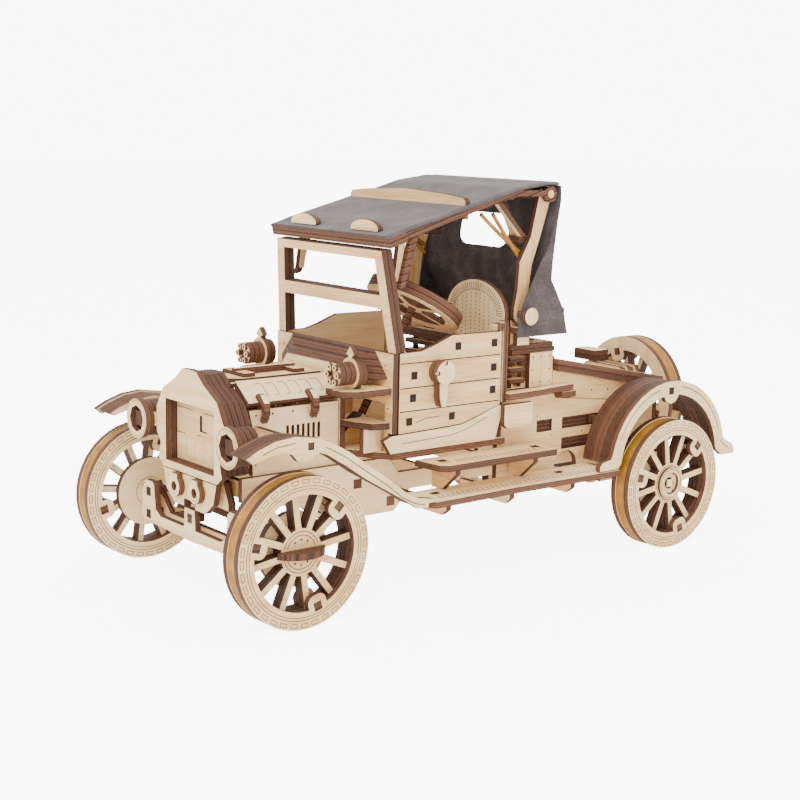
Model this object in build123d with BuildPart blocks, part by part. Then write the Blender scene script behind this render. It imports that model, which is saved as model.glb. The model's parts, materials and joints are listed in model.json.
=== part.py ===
"""A plywood construction-kit roadster: laser-cut 3 mm planks, stretched rubber bands and a cloth top.

Frame: X forward, Y to the car's left, Z up. The origin is on the ground, half way along and half way
across the car. Lengths are in millimetres.
"""

import math
import os

from build123d import *

os.makedirs("parts", exist_ok=True)

# ---------------------------------------------------------------- driving dimensions
ply = 3.0                # sheet thickness of every plank
kerf = 0.05              # gap that the laser leaves all round a tenon or a stacked layer
running = 0.08           # radial clearance of a turning pin in its bore
clear = 0.4              # gap between pieces that move past each other

wheel_radius = 34.0
wheelbase = 233.5
wheel_face = 74.0        # outer face of a road wheel, from the centre line
rear_overhang = 54.0     # rear axle to the tail of the rear fenders
body_half = 48.0         # outer face of the doors, from the centre line
bed_half = 42.0          # outer face of the cargo bed, from the centre line
rail_half = 28.0         # outer face of the chassis rails, from the centre line
hood_half = 26.0         # outer face of the hood sides, from the centre line
fender_face = 68.7       # outer face of the fenders, from the centre line
hood_length = 50.5       # radiator's back face to the firewall's front face
cowl_length = 11.5       # firewall to dashboard
door_length = 62.4       # front edge of a door to its hinge
trunk_length = 36.5      # rear post to the back of the trunk box
bed_length = 76.0        # back of the trunk box to the tailgate
roof_height = 190.0      # top of the rear bow above the ground

# ---------------------------------------------------------------- stations along and above the car
front_axle = (wheelbase + rear_overhang - wheel_radius) / 2
rear_axle = front_axle - wheelbase
axle_height = wheel_radius
radiator_back = front_axle + 10.5
stack_depth = 4 * ply
hood_front = radiator_back - stack_depth
firewall_front = hood_front - hood_length
firewall_back = firewall_front - ply
dash_front = firewall_back - cowl_length
dash_back = dash_front - ply
door_front = dash_back - 0.8
hinge_x = door_front - door_length
post_front = hinge_x - 1.8
post_back = post_front - ply
trunk_back = post_back - trunk_length
bed_back = trunk_back - bed_length

floor_top = 65.0
sill_top = 74.0
door_top = 118.3
door_low = 111.9
deck_height = 87.0       # top of the lower body side behind the doors
lid_height = 110.0
bed_top_front = 93.5
bed_top_rear = 80.5
cowl_height = 112.0


# ---------------------------------------------------------------- ways of cutting a plank
def outline(plane, points):
    """A closed straight-sided outline on a plane."""
    with BuildSketch(plane) as shape:
        with BuildLine():
            Polyline(*points, close=True)
        make_face()
    return shape.sketch


def side_plane(outer, side):
    """Plane of a plank that stands along the car, at the face turned away from the centre line."""
    return Plane.XZ.offset(-side * outer)


def side_plank(points, outer, side, thickness=ply, mode=Mode.ADD):
    extrude(outline(side_plane(outer, side), points), amount=side * thickness, mode=mode)


def cross_plank(points, back, thickness=ply, mode=Mode.ADD):
    """A plank that stands across the car, from its back face forwards."""
    extrude(outline(Plane.YZ.offset(back), points), amount=thickness, mode=mode)


def flat_plank(points, bottom, thickness=ply, mode=Mode.ADD):
    extrude(outline(Plane.XY.offset(bottom), points), amount=thickness, mode=mode)


def box_points(a0, b0, a1, b1):
    return [(a0, b0), (a1, b0), (a1, b1), (a0, b1)]


def square(a, b, size):
    return box_points(a - size / 2, b - size / 2, a + size / 2, b + size / 2)


def both(half):
    """A symmetric outline from its right half, listed from the centre line outwards and back."""
    return half + [(-a, b) for a, b in reversed(half) if a > 0]


def turned(points, side):
    return [(side * a, b) for a, b in points]


def rod_y(x, z, radius, y_from, y_to, mode=Mode.ADD):
    with BuildSketch(Plane.XZ.offset(-y_to)) as disc:
        with Locations((x, z)):
            Circle(radius)
    extrude(disc.sketch, amount=y_to - y_from, mode=mode)


def rod_x(y, z, radius, x_from, x_to, mode=Mode.ADD):
    with BuildSketch(Plane.YZ.offset(x_from)) as disc:
        with Locations((y, z)):
            Circle(radius)
    extrude(disc.sketch, amount=x_to - x_from, mode=mode)


def rod_z(x, y, radius, z_from, z_to, mode=Mode.ADD):
    with BuildSketch(Plane.XY.offset(z_from)) as disc:
        with Locations((x, y)):
            Circle(radius)
    extrude(disc.sketch, amount=z_to - z_from, mode=mode)


def side_tenons(places, outer, side, length, size=4.0):
    """Square tenons that come through a side plank and end flush with its face."""
    for x, z in places:
        side_plank(square(x, z, size + 2 * kerf), outer, side, length, mode=Mode.SUBTRACT)
    for x, z in places:
        side_plank(square(x, z, size), outer, side, length)


def save(piece, name):
    piece.part.label = name
    export_step(piece.part, f"parts/{name}.step")


sides = {"left": 1, "right": -1}

# ---------------------------------------------------------------- wheels
wheel_layers = 4
wheel_width = wheel_layers * ply
rim_inner = 26.0
disc_radius = 30.5
hub_radius = 10.6
spoke_count = 12
spoke_width = 3.0
lug_angles = (106.0, -14.0, 226.0)
lug_radius = 25.6        # centre of the tenons that pin the wheel's layers together
drum_radius = 17.0
front_axle_radius = 2.5
rear_axle_radius = 3.0


def tread_ring(plane):
    """Outer or inner ring of a wheel, with a lug inwards round each tenon."""
    with BuildSketch(plane) as ring:
        Circle(wheel_radius)
        Circle(rim_inner, mode=Mode.SUBTRACT)
        with PolarLocations(lug_radius - 1.2, 1, lug_angles[0]):
            RectangleRounded(8.5, 9.5, 3.5)
        with PolarLocations(lug_radius - 1.2, 1, lug_angles[1]):
            RectangleRounded(8.5, 9.5, 3.5)
        with PolarLocations(lug_radius - 1.2, 1, lug_angles[2]):
            RectangleRounded(8.5, 9.5, 3.5)
    return ring.sketch


def lug_squares(plane, size):
    with BuildSketch(plane) as squares:
        for angle in lug_angles:
            with PolarLocations(lug_radius, 1, angle):
                Rectangle(size, size)
    return squares.sketch


def spoke_disc(plane, bore):
    with BuildSketch(plane) as disc:
        Circle(disc_radius)
        Circle(rim_inner, mode=Mode.SUBTRACT)
        with PolarLocations((rim_inner + hub_radius) / 2, spoke_count, 8.0):
            Rectangle(rim_inner - hub_radius + 2, spoke_width)
        Circle(hub_radius)
        Circle(bore, mode=Mode.SUBTRACT)
    return disc.sketch


def wheel_solids(plane, bore, drum):
    """Stacked wheel, its outer face on the plane and the layers behind it."""
    extrude(tread_ring(plane), amount=-ply)
    extrude(spoke_disc(plane.offset(-ply), bore), amount=-2 * ply)
    extrude(tread_ring(plane.offset(-3 * ply)), amount=-ply)
    if drum:
        with BuildSketch(plane.offset(-3 * ply)) as drum_disc:
            Circle(drum_radius)
            Circle(bore, mode=Mode.SUBTRACT)
        extrude(drum_disc.sketch, amount=-ply)
    extrude(lug_squares(plane, 4.0 + 2 * kerf), amount=-wheel_width, mode=Mode.SUBTRACT)
    extrude(lug_squares(plane, 4.0), amount=-wheel_width)


def wheel_plane(x, side):
    return Plane(origin=(x, side * wheel_face, axle_height), x_dir=(1, 0, 0), z_dir=(0, side, 0))


def tyre_band(plane):
    """Flat rubber band stretched round the middle layers."""
    with BuildSketch(plane.offset(-ply - kerf)) as band:
        Circle(wheel_radius - 0.5)
        Circle(disc_radius + kerf, mode=Mode.SUBTRACT)
    extrude(band.sketch, amount=-2 * ply + 2 * kerf)


hub_bar_length = 25.0
hub_bar_proud = 4.5
for side_name, side in sides.items():
    plane = wheel_plane(front_axle, side)
    with BuildPart() as front_wheel:
        wheel_solids(plane, front_axle_radius + running, drum=True)
        with BuildSketch(plane.offset(-ply)) as cap:
            Circle(hub_radius - 2)
        extrude(cap.sketch, amount=-ply)
        with BuildSketch(Plane(origin=(front_axle, side * (wheel_face - ply), axle_height - ply / 2),
                               x_dir=(1, 0, 0), z_dir=(0, 0, 1))) as bar:
            with BuildLine():
                l1 = ThreePointArc((-hub_bar_length / 2, 0), (0, side * (hub_bar_proud + ply)),
                                   (hub_bar_length / 2, 0))
                Line(l1 @ 1, l1 @ 0)
            make_face()
        extrude(bar.sketch, amount=ply)
    save(front_wheel, f"wheel_front_{side_name}")

    with BuildPart() as front_band:
        tyre_band(plane)
    save(front_band, f"tyre_band_front_{side_name}")

collar_radius = 8.4
for side_name, side in sides.items():
    plane = wheel_plane(rear_axle, side)
    with BuildPart() as rear_wheel:
        wheel_solids(plane, rear_axle_radius + kerf, drum=True)
        with BuildSketch(plane.offset(-ply)) as collar:
            Circle(collar_radius)
            Circle(collar_radius - 2.6, mode=Mode.SUBTRACT)
        extrude(collar.sketch, amount=1.5)
    save(rear_wheel, f"wheel_rear_{side_name}")

    with BuildPart() as rear_band:
        tyre_band(plane)
    save(rear_band, f"tyre_band_rear_{side_name}")

# The spare stands behind the cargo bed with its face forwards, on a stack of carrier plates.
carrier_depth = 5 * ply
spare_height = 66.0
spare_front = bed_back - 9.0 - carrier_depth + 1.5
spare_plane = Plane(origin=(spare_front, 0, spare_height), x_dir=(0, 1, 0), z_dir=(1, 0, 0))
spare_pin = 3.0

with BuildPart() as spare_wheel:
    wheel_solids(spare_plane, spare_pin + kerf, drum=False)
save(spare_wheel, "spare_wheel")

with BuildPart() as spare_band:
    tyre_band(spare_plane)
save(spare_band, "tyre_band_spare")

# ---------------------------------------------------------------- axles and steering
kingpin_half = 50.0
kingpin_radius = 1.5
stub_inner = 47.5
beam_height = 24.6
arm_length = 12.0
drum_half = 14.0
motor_drum_radius = 7.0

with BuildPart() as rear_axle_rod:
    rod_y(rear_axle, axle_height, rear_axle_radius, -(wheel_face - 2 * ply), wheel_face - 2 * ply)
    rod_y(rear_axle, axle_height, motor_drum_radius, -drum_half, drum_half)
    for end in (-1, 1):
        rod_y(rear_axle, axle_height, motor_drum_radius + 4, end * drum_half - ply / 2, end * drum_half + ply / 2)
    for end in (-1, 1):
        with BuildSketch(side_plane(wheel_face - 2 * ply, end)) as square_end:
            with Locations((rear_axle, axle_height)):
                Rectangle(4.2, 4.2)
        extrude(square_end.sketch, amount=-end * 3.5)
save(rear_axle_rod, "rear_axle")

knuckle_top = axle_height + 10.0
knuckle_low = axle_height - 7.0
for side_name, side in sides.items():
    with BuildPart() as knuckle:
        flat_plank(box_points(front_axle - 5, side * 46, front_axle + 5, side * 54), axle_height - 4.5, 9.0)
        extrude(outline(Plane.XY.offset(axle_height + 1.5),
                        [(front_axle - 4.5, side * 52.5), (front_axle - arm_length - 3, side * 52.5),
                         (front_axle - arm_length - 3, side * 47.5), (front_axle - 4.5, side * 47.5)]),
                amount=ply)
        rod_z(front_axle - arm_length, side * kingpin_half, 2.0, 0, 100, mode=Mode.SUBTRACT)
        rod_y(front_axle, axle_height, front_axle_radius, min(side * 53, side * 68), max(side * 53, side * 68))
        rod_z(front_axle, side * kingpin_half, kingpin_radius + running, 0, 100, mode=Mode.SUBTRACT)
    save(knuckle, f"steering_knuckle_{side_name}")

with BuildPart() as tie_rod:
    flat_plank(box_points(front_axle - arm_length - 3, -kingpin_half - 2,
                          front_axle - arm_length + 3, kingpin_half + 2), axle_height - 2.5)
    for side in sides.values():
        rod_z(front_axle - arm_length, side * kingpin_half, 1.0, axle_height - 2.5, axle_height + 6.0)
save(tie_rod, "tie_rod")

# Front beam: two plates with raised tabs, joined by forks that hold the kingpins.
beam_front = radiator_back + ply
tab_top = 46.0
centre_tab_top = 40.0
beam_outline = both([(0, centre_tab_top), (4.6, centre_tab_top), (5.2, 30.5), (27, 30.5), (31.5, 33),
                     (33, tab_top - 1.5), (34.5, tab_top), (41, tab_top), (44.5, 40), (45, 29),
                     (42, beam_height), (38, beam_height + 1), (0, beam_height)])
with BuildPart() as front_beam:
    cross_plank(beam_outline, radiator_back)
    for a, b in [(0, 35.5), (38.5, 40.5), (38.5, 29.5), (-38.5, 40.5), (-38.5, 29.5)]:
        cross_plank(square(a, b, 4 + 2 * kerf), radiator_back, mode=Mode.SUBTRACT)
        cross_plank(square(a, b, 4), radiator_back - 4.0, thickness=4.0 + ply)
    cross_plank(both([(0, 30.5), (30, 30.5), (43.6, 44), (44.2, 29), (40, beam_height), (0, beam_height)]),
                radiator_back - 4.0 - ply)
    # Two ring lugs and two curved leaves hang the beam under the radiator.
    for side in sides.values():
        with BuildSketch(Plane.YZ.offset(radiator_back + ply + kerf)) as lug:
            with Locations((side * 9.0, 49.5)):
                Circle(5.0)
            with Locations((side * 9.0, 52.6)):
                Rectangle(6.0, 6.0)
            with Locations((side * 9.0, 49.5)):
                Circle(2.2, mode=Mode.SUBTRACT)
        extrude(lug.sketch, amount=ply)
    cross_plank(both([(0, 55.6), (23.5, 55.6), (21, 46), (14, 40.4), (4.9, 40.4), (4.9, 44), (0, 44)]),
                radiator_back)
    for side in sides.values():
        cross_plank(turned([(9, 43), (9, 55.5), (20, 55.5), (24, 46), (24, 43)], side),
                    radiator_back - 4.0 - ply, 4.0 - kerf)
save(front_beam, "front_beam")

fork_reach = kingpin_half + 4.0
with BuildPart() as kingpin_forks:
    for side in sides.values():
        for bottom in (axle_height - 4.5 - clear - ply, axle_height + 4.5 + clear):
            flat_plank([(radiator_back - 4.0 - ply - kerf, side * 35), (radiator_back - 4.0 - ply - kerf, side * 44),
                        (front_axle + 3, side * fork_reach), (front_axle - 4, side * fork_reach),
                        (front_axle - 4, side * 46), (front_axle - 6, side * 35)], bottom)
        rod_z(front_axle, side * kingpin_half, kingpin_radius, axle_height - 4.5 - clear - ply,
              axle_height + 4.5 + clear + ply)
save(kingpin_forks, "kingpin_forks")

# ---------------------------------------------------------------- chassis
rail_top = 58.0
rail_inner = rail_half - ply
rail_tail = bed_back - 2.0
with BuildPart() as chassis_rails:
    for side in sides.values():
        side_plank([(front_axle + 3, rail_top), (front_axle + 3, 47), (front_axle - 14, 44),
                    (front_axle - 30, 40), (front_axle - 44, 31), (front_axle - 84, 31),
                    (front_axle - 94, 41), (rail_tail, 41), (rail_tail, 50),
                    (dash_front - 20, 50), (dash_front - 14, rail_top)], rail_half, side)
        side_plank([(rear_axle - 8, 42), (rear_axle - 7, 27), (rear_axle + 7, 27), (rear_axle + 8, 42)],
                   rail_half, side)
        side_tenons([(front_axle - 62, 47.5), (front_axle - 82, 36.5)], rail_half, side, ply + 3, size=4.5)
    rod_y(rear_axle, axle_height, rear_axle_radius + running, -rail_half, rail_half, mode=Mode.SUBTRACT)
save(chassis_rails, "chassis_rails")

board_low = 42.0
board_top = board_low + ply
step_low = 57.0
board_outer = 69.5
board_inner = 47.0
board_front = front_axle - 73.0
board_rear = rear_axle + wheel_radius + 1.5
step_outer = 65.0
step_front = front_axle - 84.0
step_rear = step_front - 76.0
bracket_places = [board_front - 16, board_front - 56, board_rear + 28]

cross_half = rail_inner - kerf
member_places = [front_axle - 2, firewall_back, dash_front - 45, trunk_back + 20, bed_back + 2]
with BuildPart() as cross_members:
    for place in member_places[:2]:
        cross_plank(both([(0, 56), (cross_half, 56), (cross_half, 48), (0, 48)]), place)
    for place in member_places[2:]:
        cross_plank(both([(0, 49), (cross_half, 49), (cross_half, 42), (0, 42)]), place)
    rod_y(member_places[2] - 3, 45.5, 2.0, -14, 14)

    for place in bracket_places:
        for side in sides.values():
            cross_plank(turned([(rail_half + kerf, board_low - kerf), (rail_half + kerf, board_low - 6),
                                (board_outer - 8, board_low - 6), (board_outer - 4, board_low - 3),
                                (board_outer - 4, board_low - kerf)], side), place)
    for place in (step_front - 14, step_rear + 12):
        for side in sides.values():
            cross_plank(turned([(board_inner - 4, board_top + kerf), (board_inner + 4, board_top + kerf),
                                (step_outer - 4, step_low - 3), (step_outer - 4, step_low - kerf),
                                (board_inner - 4, step_low - kerf)], side), place)
save(cross_members, "cross_members")

for side_name, side in sides.items():
    with BuildPart() as running_board:
        flat_plank([(board_front, side * board_inner), (board_front, side * (board_outer - 4)),
                    (board_front - 4, side * board_outer), (step_rear + 30, side * (board_outer - 1.5)),
                    (board_rear, side * board_outer), (board_rear, side * board_inner)], board_low)
        flat_plank([(step_front + 2, side * (board_inner - 1)), (step_front, side * (step_outer - 3)),
                    (step_front - 4, side * step_outer), (step_rear + 3, side * step_outer),
                    (step_rear, side * (step_outer - 3)), (step_rear + 3, side * (board_inner - 1))], step_low)
        for place in (bracket_places[0], bracket_places[2]):
            flat_plank([(place - 1, side * 53), (place + 4, side * 53), (place + 4, side * 57),
                        (place - 1, side * 57)], board_low, mode=Mode.SUBTRACT)
        for place in (step_front - 8, step_rear + 8):
            flat_plank([(place - 2.5, side * 52), (place + 2.5, side * 52), (place + 2.5, side * 56),
                        (place - 2.5, side * 56)], step_low, mode=Mode.SUBTRACT)
    save(running_board, f"running_board_{side_name}")

with BuildPart() as floor_boards:
    flat_plank([(firewall_back - kerf, -rail_half), (dash_front - 1, -body_half + kerf),
                (post_back, -body_half + kerf), (post_back, body_half - kerf),
                (dash_front - 1, body_half - kerf), (firewall_back - kerf, rail_half)], floor_top - ply)
    flat_plank(box_points(bed_back, -38.9, post_back - 1, 38.9), 59.0)
save(floor_boards, "floor_boards")

# ---------------------------------------------------------------- radiator and headlamps
radiator_half = [(0, 105.1), (6.4, 104.7), (12.5, 99.7), (24, 93.3), (27.5, 87.5), (30, 83.4),
                 (30, 71.8), (26.3, 66.8), (28.3, 59.4), (24, 55.9), (0, 55.9)]
stack_half = [(0, 103.6), (6, 103.2), (12, 98.6), (23, 92.2), (26.6, 87), (29, 83),
              (29, 72.4), (25.3, 67), (27.3, 60), (23.5, 58.6), (0, 58.6)]
window = box_points(-21.35, 59.6, 21.35, 88.6)
core_depth = 2 * ply
with BuildPart() as radiator_front:
    cross_plank(both(radiator_half), radiator_back)
    cross_plank(window, radiator_back, mode=Mode.SUBTRACT)
    cross_plank(box_points(-21.3, 59.65, 21.3, 88.55), radiator_back - core_depth, ply)
    cross_plank(box_points(-0.5, 75.5, 5.5, 83), radiator_back - core_depth + 2, 1.0, mode=Mode.SUBTRACT)
save(radiator_front, "radiator_front")

hood_pivot_y = 13.8
hood_pivot_z = 98.9
hood_pin = 1.0
with BuildPart() as radiator_stack:
    cross_plank(both(stack_half), hood_front, stack_depth)
    cross_plank(window, radiator_back - core_depth, core_depth, mode=Mode.SUBTRACT)
    for side in sides.values():
        rod_x(side * (hood_pivot_y - 1), hood_pivot_z - 2.5, hood_pin + running, hood_front, hood_front + 3,
              mode=Mode.SUBTRACT)
save(radiator_stack, "radiator_stack")


lamp_y = 40.3
lamp_z = 76.3
lamp_front = front_axle + 18.6
lamp_radius = 9.5
with BuildPart() as headlamps:
    for side in sides.values():
        centre = (side * lamp_y, lamp_z)
        rod_x(*centre, lamp_radius, lamp_front - ply, lamp_front)
        with BuildSketch(Plane.YZ.offset(lamp_front - ply)) as eye:
            with Locations(centre):
                RegularPolygon(6.4, 8)
        extrude(eye.sketch, amount=ply, mode=Mode.SUBTRACT)
        rod_x(*centre, lamp_radius - 0.8, lamp_front - 4 * ply, lamp_front - ply)
        with BuildSketch(Plane.YZ.offset(lamp_front - ply)) as star:
            with Locations(centre):
                RegularPolygon(5.2, 4, rotation=45)
        extrude(star.sketch, amount=1.5)
        cross_plank(turned([(30.1, 80.4), (34, 80.4), (34, 73), (30.1, 74)], side), radiator_back)
        cross_plank(turned([(30.1, 79.6), (34, 79.6), (34, 73.8), (30.1, 74.5)], side),
                    radiator_back - ply)
save(headlamps, "headlamps")


# ---------------------------------------------------------------- hood and engine
hood_gap = 0.5
hood_rear = firewall_front + hood_gap
hood_start = hood_front - hood_gap
hood_span = hood_start - hood_rear
slope_y, slope_z = 12.5 / 15.52, -9.2 / 15.52
normal_y, normal_z = -slope_z, slope_y
ridge = (13.5, 101.0)
eave = (26.0, 91.8)


def hood_lid(side):
    """Slanting hood panel, its upper edge rounded about the hinge."""
    top = (ridge[0] + 1.5 * slope_y, ridge[1] + 1.5 * slope_z)
    under = (top[0] - ply * normal_y, top[1] - ply * normal_z)
    edge = (eave[0] - ply * normal_y, eave[1] - ply * normal_z)
    cross_plank(turned([top, eave, edge, under], side), hood_rear, hood_span)
    pivot = (side * (top[0] - 1.5 * normal_y), top[1] - 1.5 * normal_z)
    rod_x(*pivot, 1.5, hood_rear, hood_start)
    rod_x(*pivot, hood_pin, hood_rear - 2.5, hood_start + 2.5)
    return pivot


hook_places = [hood_start - 8.0, hood_rear + 14.5]
for side_name, side in sides.items():
    with BuildPart() as hood_panel:
        hinge_point = hood_lid(side)
        for place in hook_places:
            cross_plank(turned([(24.3, 95.5), (27.6, 95.5), (31, 92), (31.6, 87), (29, 82.5), (27.2, 83.5),
                                (28.6, 87), (28, 90.2), (26.2, 91.8), (25.2, 90.6), (22.5, 92.8)], side),
                        place)
    save(hood_panel, f"hood_panel_{side_name}")

hinge_y, hinge_z = abs(hinge_point[0]), hinge_point[1]

hood_side_top = 88.5
vent_count = 7
with BuildPart() as hood_frame:
    for side in sides.values():
        side_plank([(hood_start - 2, rail_top + kerf), (hood_start - 2, 80), (hood_start, hood_side_top),
                    (hood_rear, hood_side_top), (hood_rear, rail_top + kerf)], hood_half, side)
        for i in range(vent_count):
            place = hood_rear + 10.5 + i * 2.9
            side_plank(box_points(place, 72.5, place + 1.3, 79.5), hood_half, side, mode=Mode.SUBTRACT)
    flat_plank([(hood_start, -8), (hood_start - 6, -11.4), (hood_rear + 6, -11.4), (hood_rear, -11.4),
                (hood_rear, 11.4), (hood_rear + 6, 11.4), (hood_start - 6, 11.4), (hood_start, 8)], 97.6)
    for place in (hood_start - 14, hood_rear + 8):
        flat_plank(box_points(place, -9.5, place + 6, 9.5), 97.6 + ply, 1.8)
    flat_plank(box_points(hood_rear + 8, -1.5, hood_start - 8, 1.5), 97.6 + ply, 3.0)
save(hood_frame, "hood_frame")

# The firewall is also the frame that the hood closes on.
firewall_half = [(0, 105.5), (17.7, 105.5), (26.8, 94.7), (26.8, rail_top + kerf), (0, rail_top + kerf)]
with BuildPart() as firewall:
    cross_plank(both(firewall_half), firewall_back)
    for side in sides.values():
        rod_x(side * hinge_y, hinge_z, hood_pin + running, firewall_back, firewall_front, mode=Mode.SUBTRACT)
save(firewall, "firewall")

cylinder_count = 4
engine_front = hood_front - 5.0
with BuildPart() as engine_block:
    flat_plank(box_points(hood_rear + 5, -9, engine_front, 9), 56 + kerf, 22)
    for i in range(cylinder_count):
        place = hood_rear + 10.5 + i * (engine_front - hood_rear - 16) / (cylinder_count - 1)
        rod_z(place, 0, 3.6, 78, 88)
    for i in range(5):
        flat_plank(box_points(hood_rear + 8 + i * 7, 9, hood_rear + 11 + i * 7, 13), 64, 8)
save(engine_block, "engine_block")

# ---------------------------------------------------------------- cowl

cowl_front_half = [(0, 105), (17, 105), (25.5, 94.6), (22.5, 94.6), (16, 102), (0, 102)]
cowl_back_half = [(0, cowl_height), (34, cowl_height), (44, 100), (40.5, 100), (32, 109), (0, 109)]
lamp_shelf = 93.0
with BuildPart() as cowl:
    front_face = outline(Plane.YZ.offset(firewall_back - kerf), both(cowl_front_half))
    back_face = outline(Plane.YZ.offset(dash_front + kerf), both(cowl_back_half))
    loft([front_face, back_face], ruled=True)
    for side in sides.values():
        flat_plank([(dash_front + kerf, side * 47), (dash_front + kerf, side * 33),
                    (firewall_back - 1, side * 29.5), (firewall_front + 10.5, side * 29.5),
                    (firewall_front + 10.5, side * 35.5), (firewall_front + 12, side * 36),
                    (firewall_front + 11, side * 43), (firewall_front + 5, side * 47)], lamp_shelf)
        flat_plank([(dash_front + kerf, side * 46), (dash_front + kerf, side * 27.2),
                    (firewall_back + 3, side * 27.2), (firewall_back + 1, side * 36),
                    (firewall_back - 3, side * 44)], 76.5)
        side_plank(box_points(dash_front + kerf, floor_top + kerf, firewall_back - 1, 76.4), 40, side)
save(cowl, "cowl")

cowl_lamp_y = 38.0
cowl_lamp_z = lamp_shelf + ply + 7.4
cowl_lamp_front = firewall_front + 12.0
petal_count = 6
with BuildPart() as cowl_lamps:
    for side in sides.values():
        y = side * cowl_lamp_y
        rod_x(y, cowl_lamp_z, 5.4, cowl_lamp_front - 9, cowl_lamp_front)
        rod_x(y, cowl_lamp_z, 2.6, cowl_lamp_front - 1.2, cowl_lamp_front, mode=Mode.SUBTRACT)
        with BuildSketch(Plane.YZ.offset(cowl_lamp_front)) as petals:
            with Locations((y, cowl_lamp_z)):
                with PolarLocations(3.9, petal_count):
                    Circle(1.5)
                with PolarLocations(3.9, petal_count):
                    Circle(0.7, mode=Mode.SUBTRACT)
        extrude(petals.sketch, amount=1.5)
        rod_x(y, cowl_lamp_z, 7.2, cowl_lamp_front - 12, cowl_lamp_front - 9)
        rod_x(y, cowl_lamp_z, 6.2, cowl_lamp_front - 15, cowl_lamp_front - 12)
        flat_plank(box_points(cowl_lamp_front - 14, y - 2, cowl_lamp_front - 10, y + 2),
                   lamp_shelf + ply + kerf, 2.5)
        cross_plank([(y - 1.4, cowl_lamp_z + 6), (y + 1.4, cowl_lamp_z + 6), (y + 1.4, cowl_lamp_z + 8),
                     (y + 3, cowl_lamp_z + 8.6), (y + 1.6, cowl_lamp_z + 10.4), (y, cowl_lamp_z + 12.4),
                     (y - 1.6, cowl_lamp_z + 10.4), (y - 3, cowl_lamp_z + 8.6), (y - 1.4, cowl_lamp_z + 8)],
                    cowl_lamp_front - 12)
save(cowl_lamps, "cowl_lamps")

# ---------------------------------------------------------------- windshield
shield_foot = cowl_height + kerf
shield_height = 47.5
lean = math.radians(6.5)
shield_plane = Plane(origin=(dash_front - 1.2, 0, shield_foot), x_dir=(0, 1, 0),
                     z_dir=(math.cos(lean), 0, -math.sin(lean)))
shield_low = 48.4
shield_high = 42.7
frame_width = 6.2
shield_depth = 2 * ply


def shield_edge(height, inset):
    """Half-width of the windshield at a height up its slope."""
    return shield_low + (shield_high - shield_low) * height / shield_height - inset


with BuildPart() as windshield:
    extrude(outline(shield_plane, both([(0, shield_height), (shield_high, shield_height), (shield_low, 0),
                                        (0, 0)])), amount=-shield_depth)
    for bottom, top in ((-5, 20.2), (26.6, 43.2)):
        pane = [(-shield_edge(bottom, frame_width), bottom), (shield_edge(bottom, frame_width), bottom),
                (shield_edge(top, frame_width), top), (-shield_edge(top, frame_width), top)]
        extrude(outline(shield_plane.offset(1), pane), amount=-shield_depth - 2, mode=Mode.SUBTRACT)
    split(bisect_by=Plane.XY.offset(shield_foot), keep=Keep.TOP)
save(windshield, "windshield")

# ---------------------------------------------------------------- steering wheel and column
wheel_tilt = math.radians(31.2)
column_dir = Vector(-math.sin(wheel_tilt), 0, math.cos(wheel_tilt))
steer_centre = Vector(dash_back - 33.0, 16, 127.9)
steer_plane = Plane(origin=steer_centre, x_dir=(0, 1, 0), z_dir=column_dir)
steer_radius = 24.6
steer_spokes = 5
column_radius = 2.0
column_length = 66.0
with BuildPart() as steering_wheel:
    with BuildSketch(steer_plane) as rim:
        Circle(steer_radius)
        Circle(steer_radius - 3.6, mode=Mode.SUBTRACT)
    extrude(rim.sketch, amount=2 * ply)
    with BuildSketch(steer_plane) as spokes:
        Circle(steer_radius - 3.4)
        Circle(steer_radius - 7.0, mode=Mode.SUBTRACT)
        Circle(5.5)
        with PolarLocations(11.5, steer_spokes):
            Rectangle(14.5, 3.2)
    extrude(spokes.sketch, amount=ply)
    with BuildSketch(steer_plane) as boss:
        Circle(4.0)
    extrude(boss.sketch, amount=2 * ply)
    with BuildSketch(steer_plane) as column:
        Circle(column_radius)
    extrude(column.sketch, amount=-column_length)
save(steering_wheel, "steering_wheel")

dash_low = 88.0
foot_x = dash_front
with BuildPart() as dashboard:
    cross_plank(both([(0, dash_low), (42, dash_low), (42, floor_top + kerf), (44.9, floor_top + kerf),
                      (44.9, sill_top + 0.3), (body_half, sill_top + 0.3), (body_half, cowl_height),
                      (0, cowl_height)]), dash_back)
    side_plank([(foot_x - 9, floor_top + kerf), (foot_x + 9, floor_top + kerf), (foot_x + 9, 70),
                (foot_x - 4, 79.5), (foot_x - 9, 76)], 20, 1, 8)
    with BuildSketch(steer_plane) as bore:
        Circle(column_radius + running)
    extrude(bore.sketch, amount=-column_length - 2, mode=Mode.SUBTRACT)
save(dashboard, "dashboard")


# ---------------------------------------------------------------- body sides and doors
pin_radius = 1.0
door_inner = body_half - ply
post_tab = 118.9
with BuildPart() as body_frame:
    for side in sides.values():
        side_plank([(door_front + 8.6, 71.6), (door_front + 4.5, floor_top + kerf),
                    (hinge_x + 2, floor_top + kerf), (hinge_x - 1.9, 77.2), (hinge_x - 1.9, 81.8),
                    (hinge_x + 0.6, 81.8), (hinge_x + 14.9, 77.1), (hinge_x + 24, 74.7),
                    (door_front - 29.5, 74.2), (door_front, 73.5), (door_front + 4, 73.4)], body_half, side)
        rod_z(hinge_x, side * (body_half - 1.5), pin_radius + running, 78.6, 82, mode=Mode.SUBTRACT)
    cross_plank(both([(0, floor_top + kerf), (44.9, floor_top + kerf), (44.9, 83), (body_half, 83),
                      (body_half, 123), (42, 123), (42, 104), (38, 98), (38, 71), (0, 71)]), post_back)
    for side in sides.values():
        flat_plank(box_points(post_back + 1, side * 43, hinge_x + 2.6, side * body_half), post_tab)
        rod_z(hinge_x, side * (body_half - 1.5), pin_radius + running, post_tab - 1, post_tab + ply + 1,
              mode=Mode.SUBTRACT)
save(body_frame, "body_frame")

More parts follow.
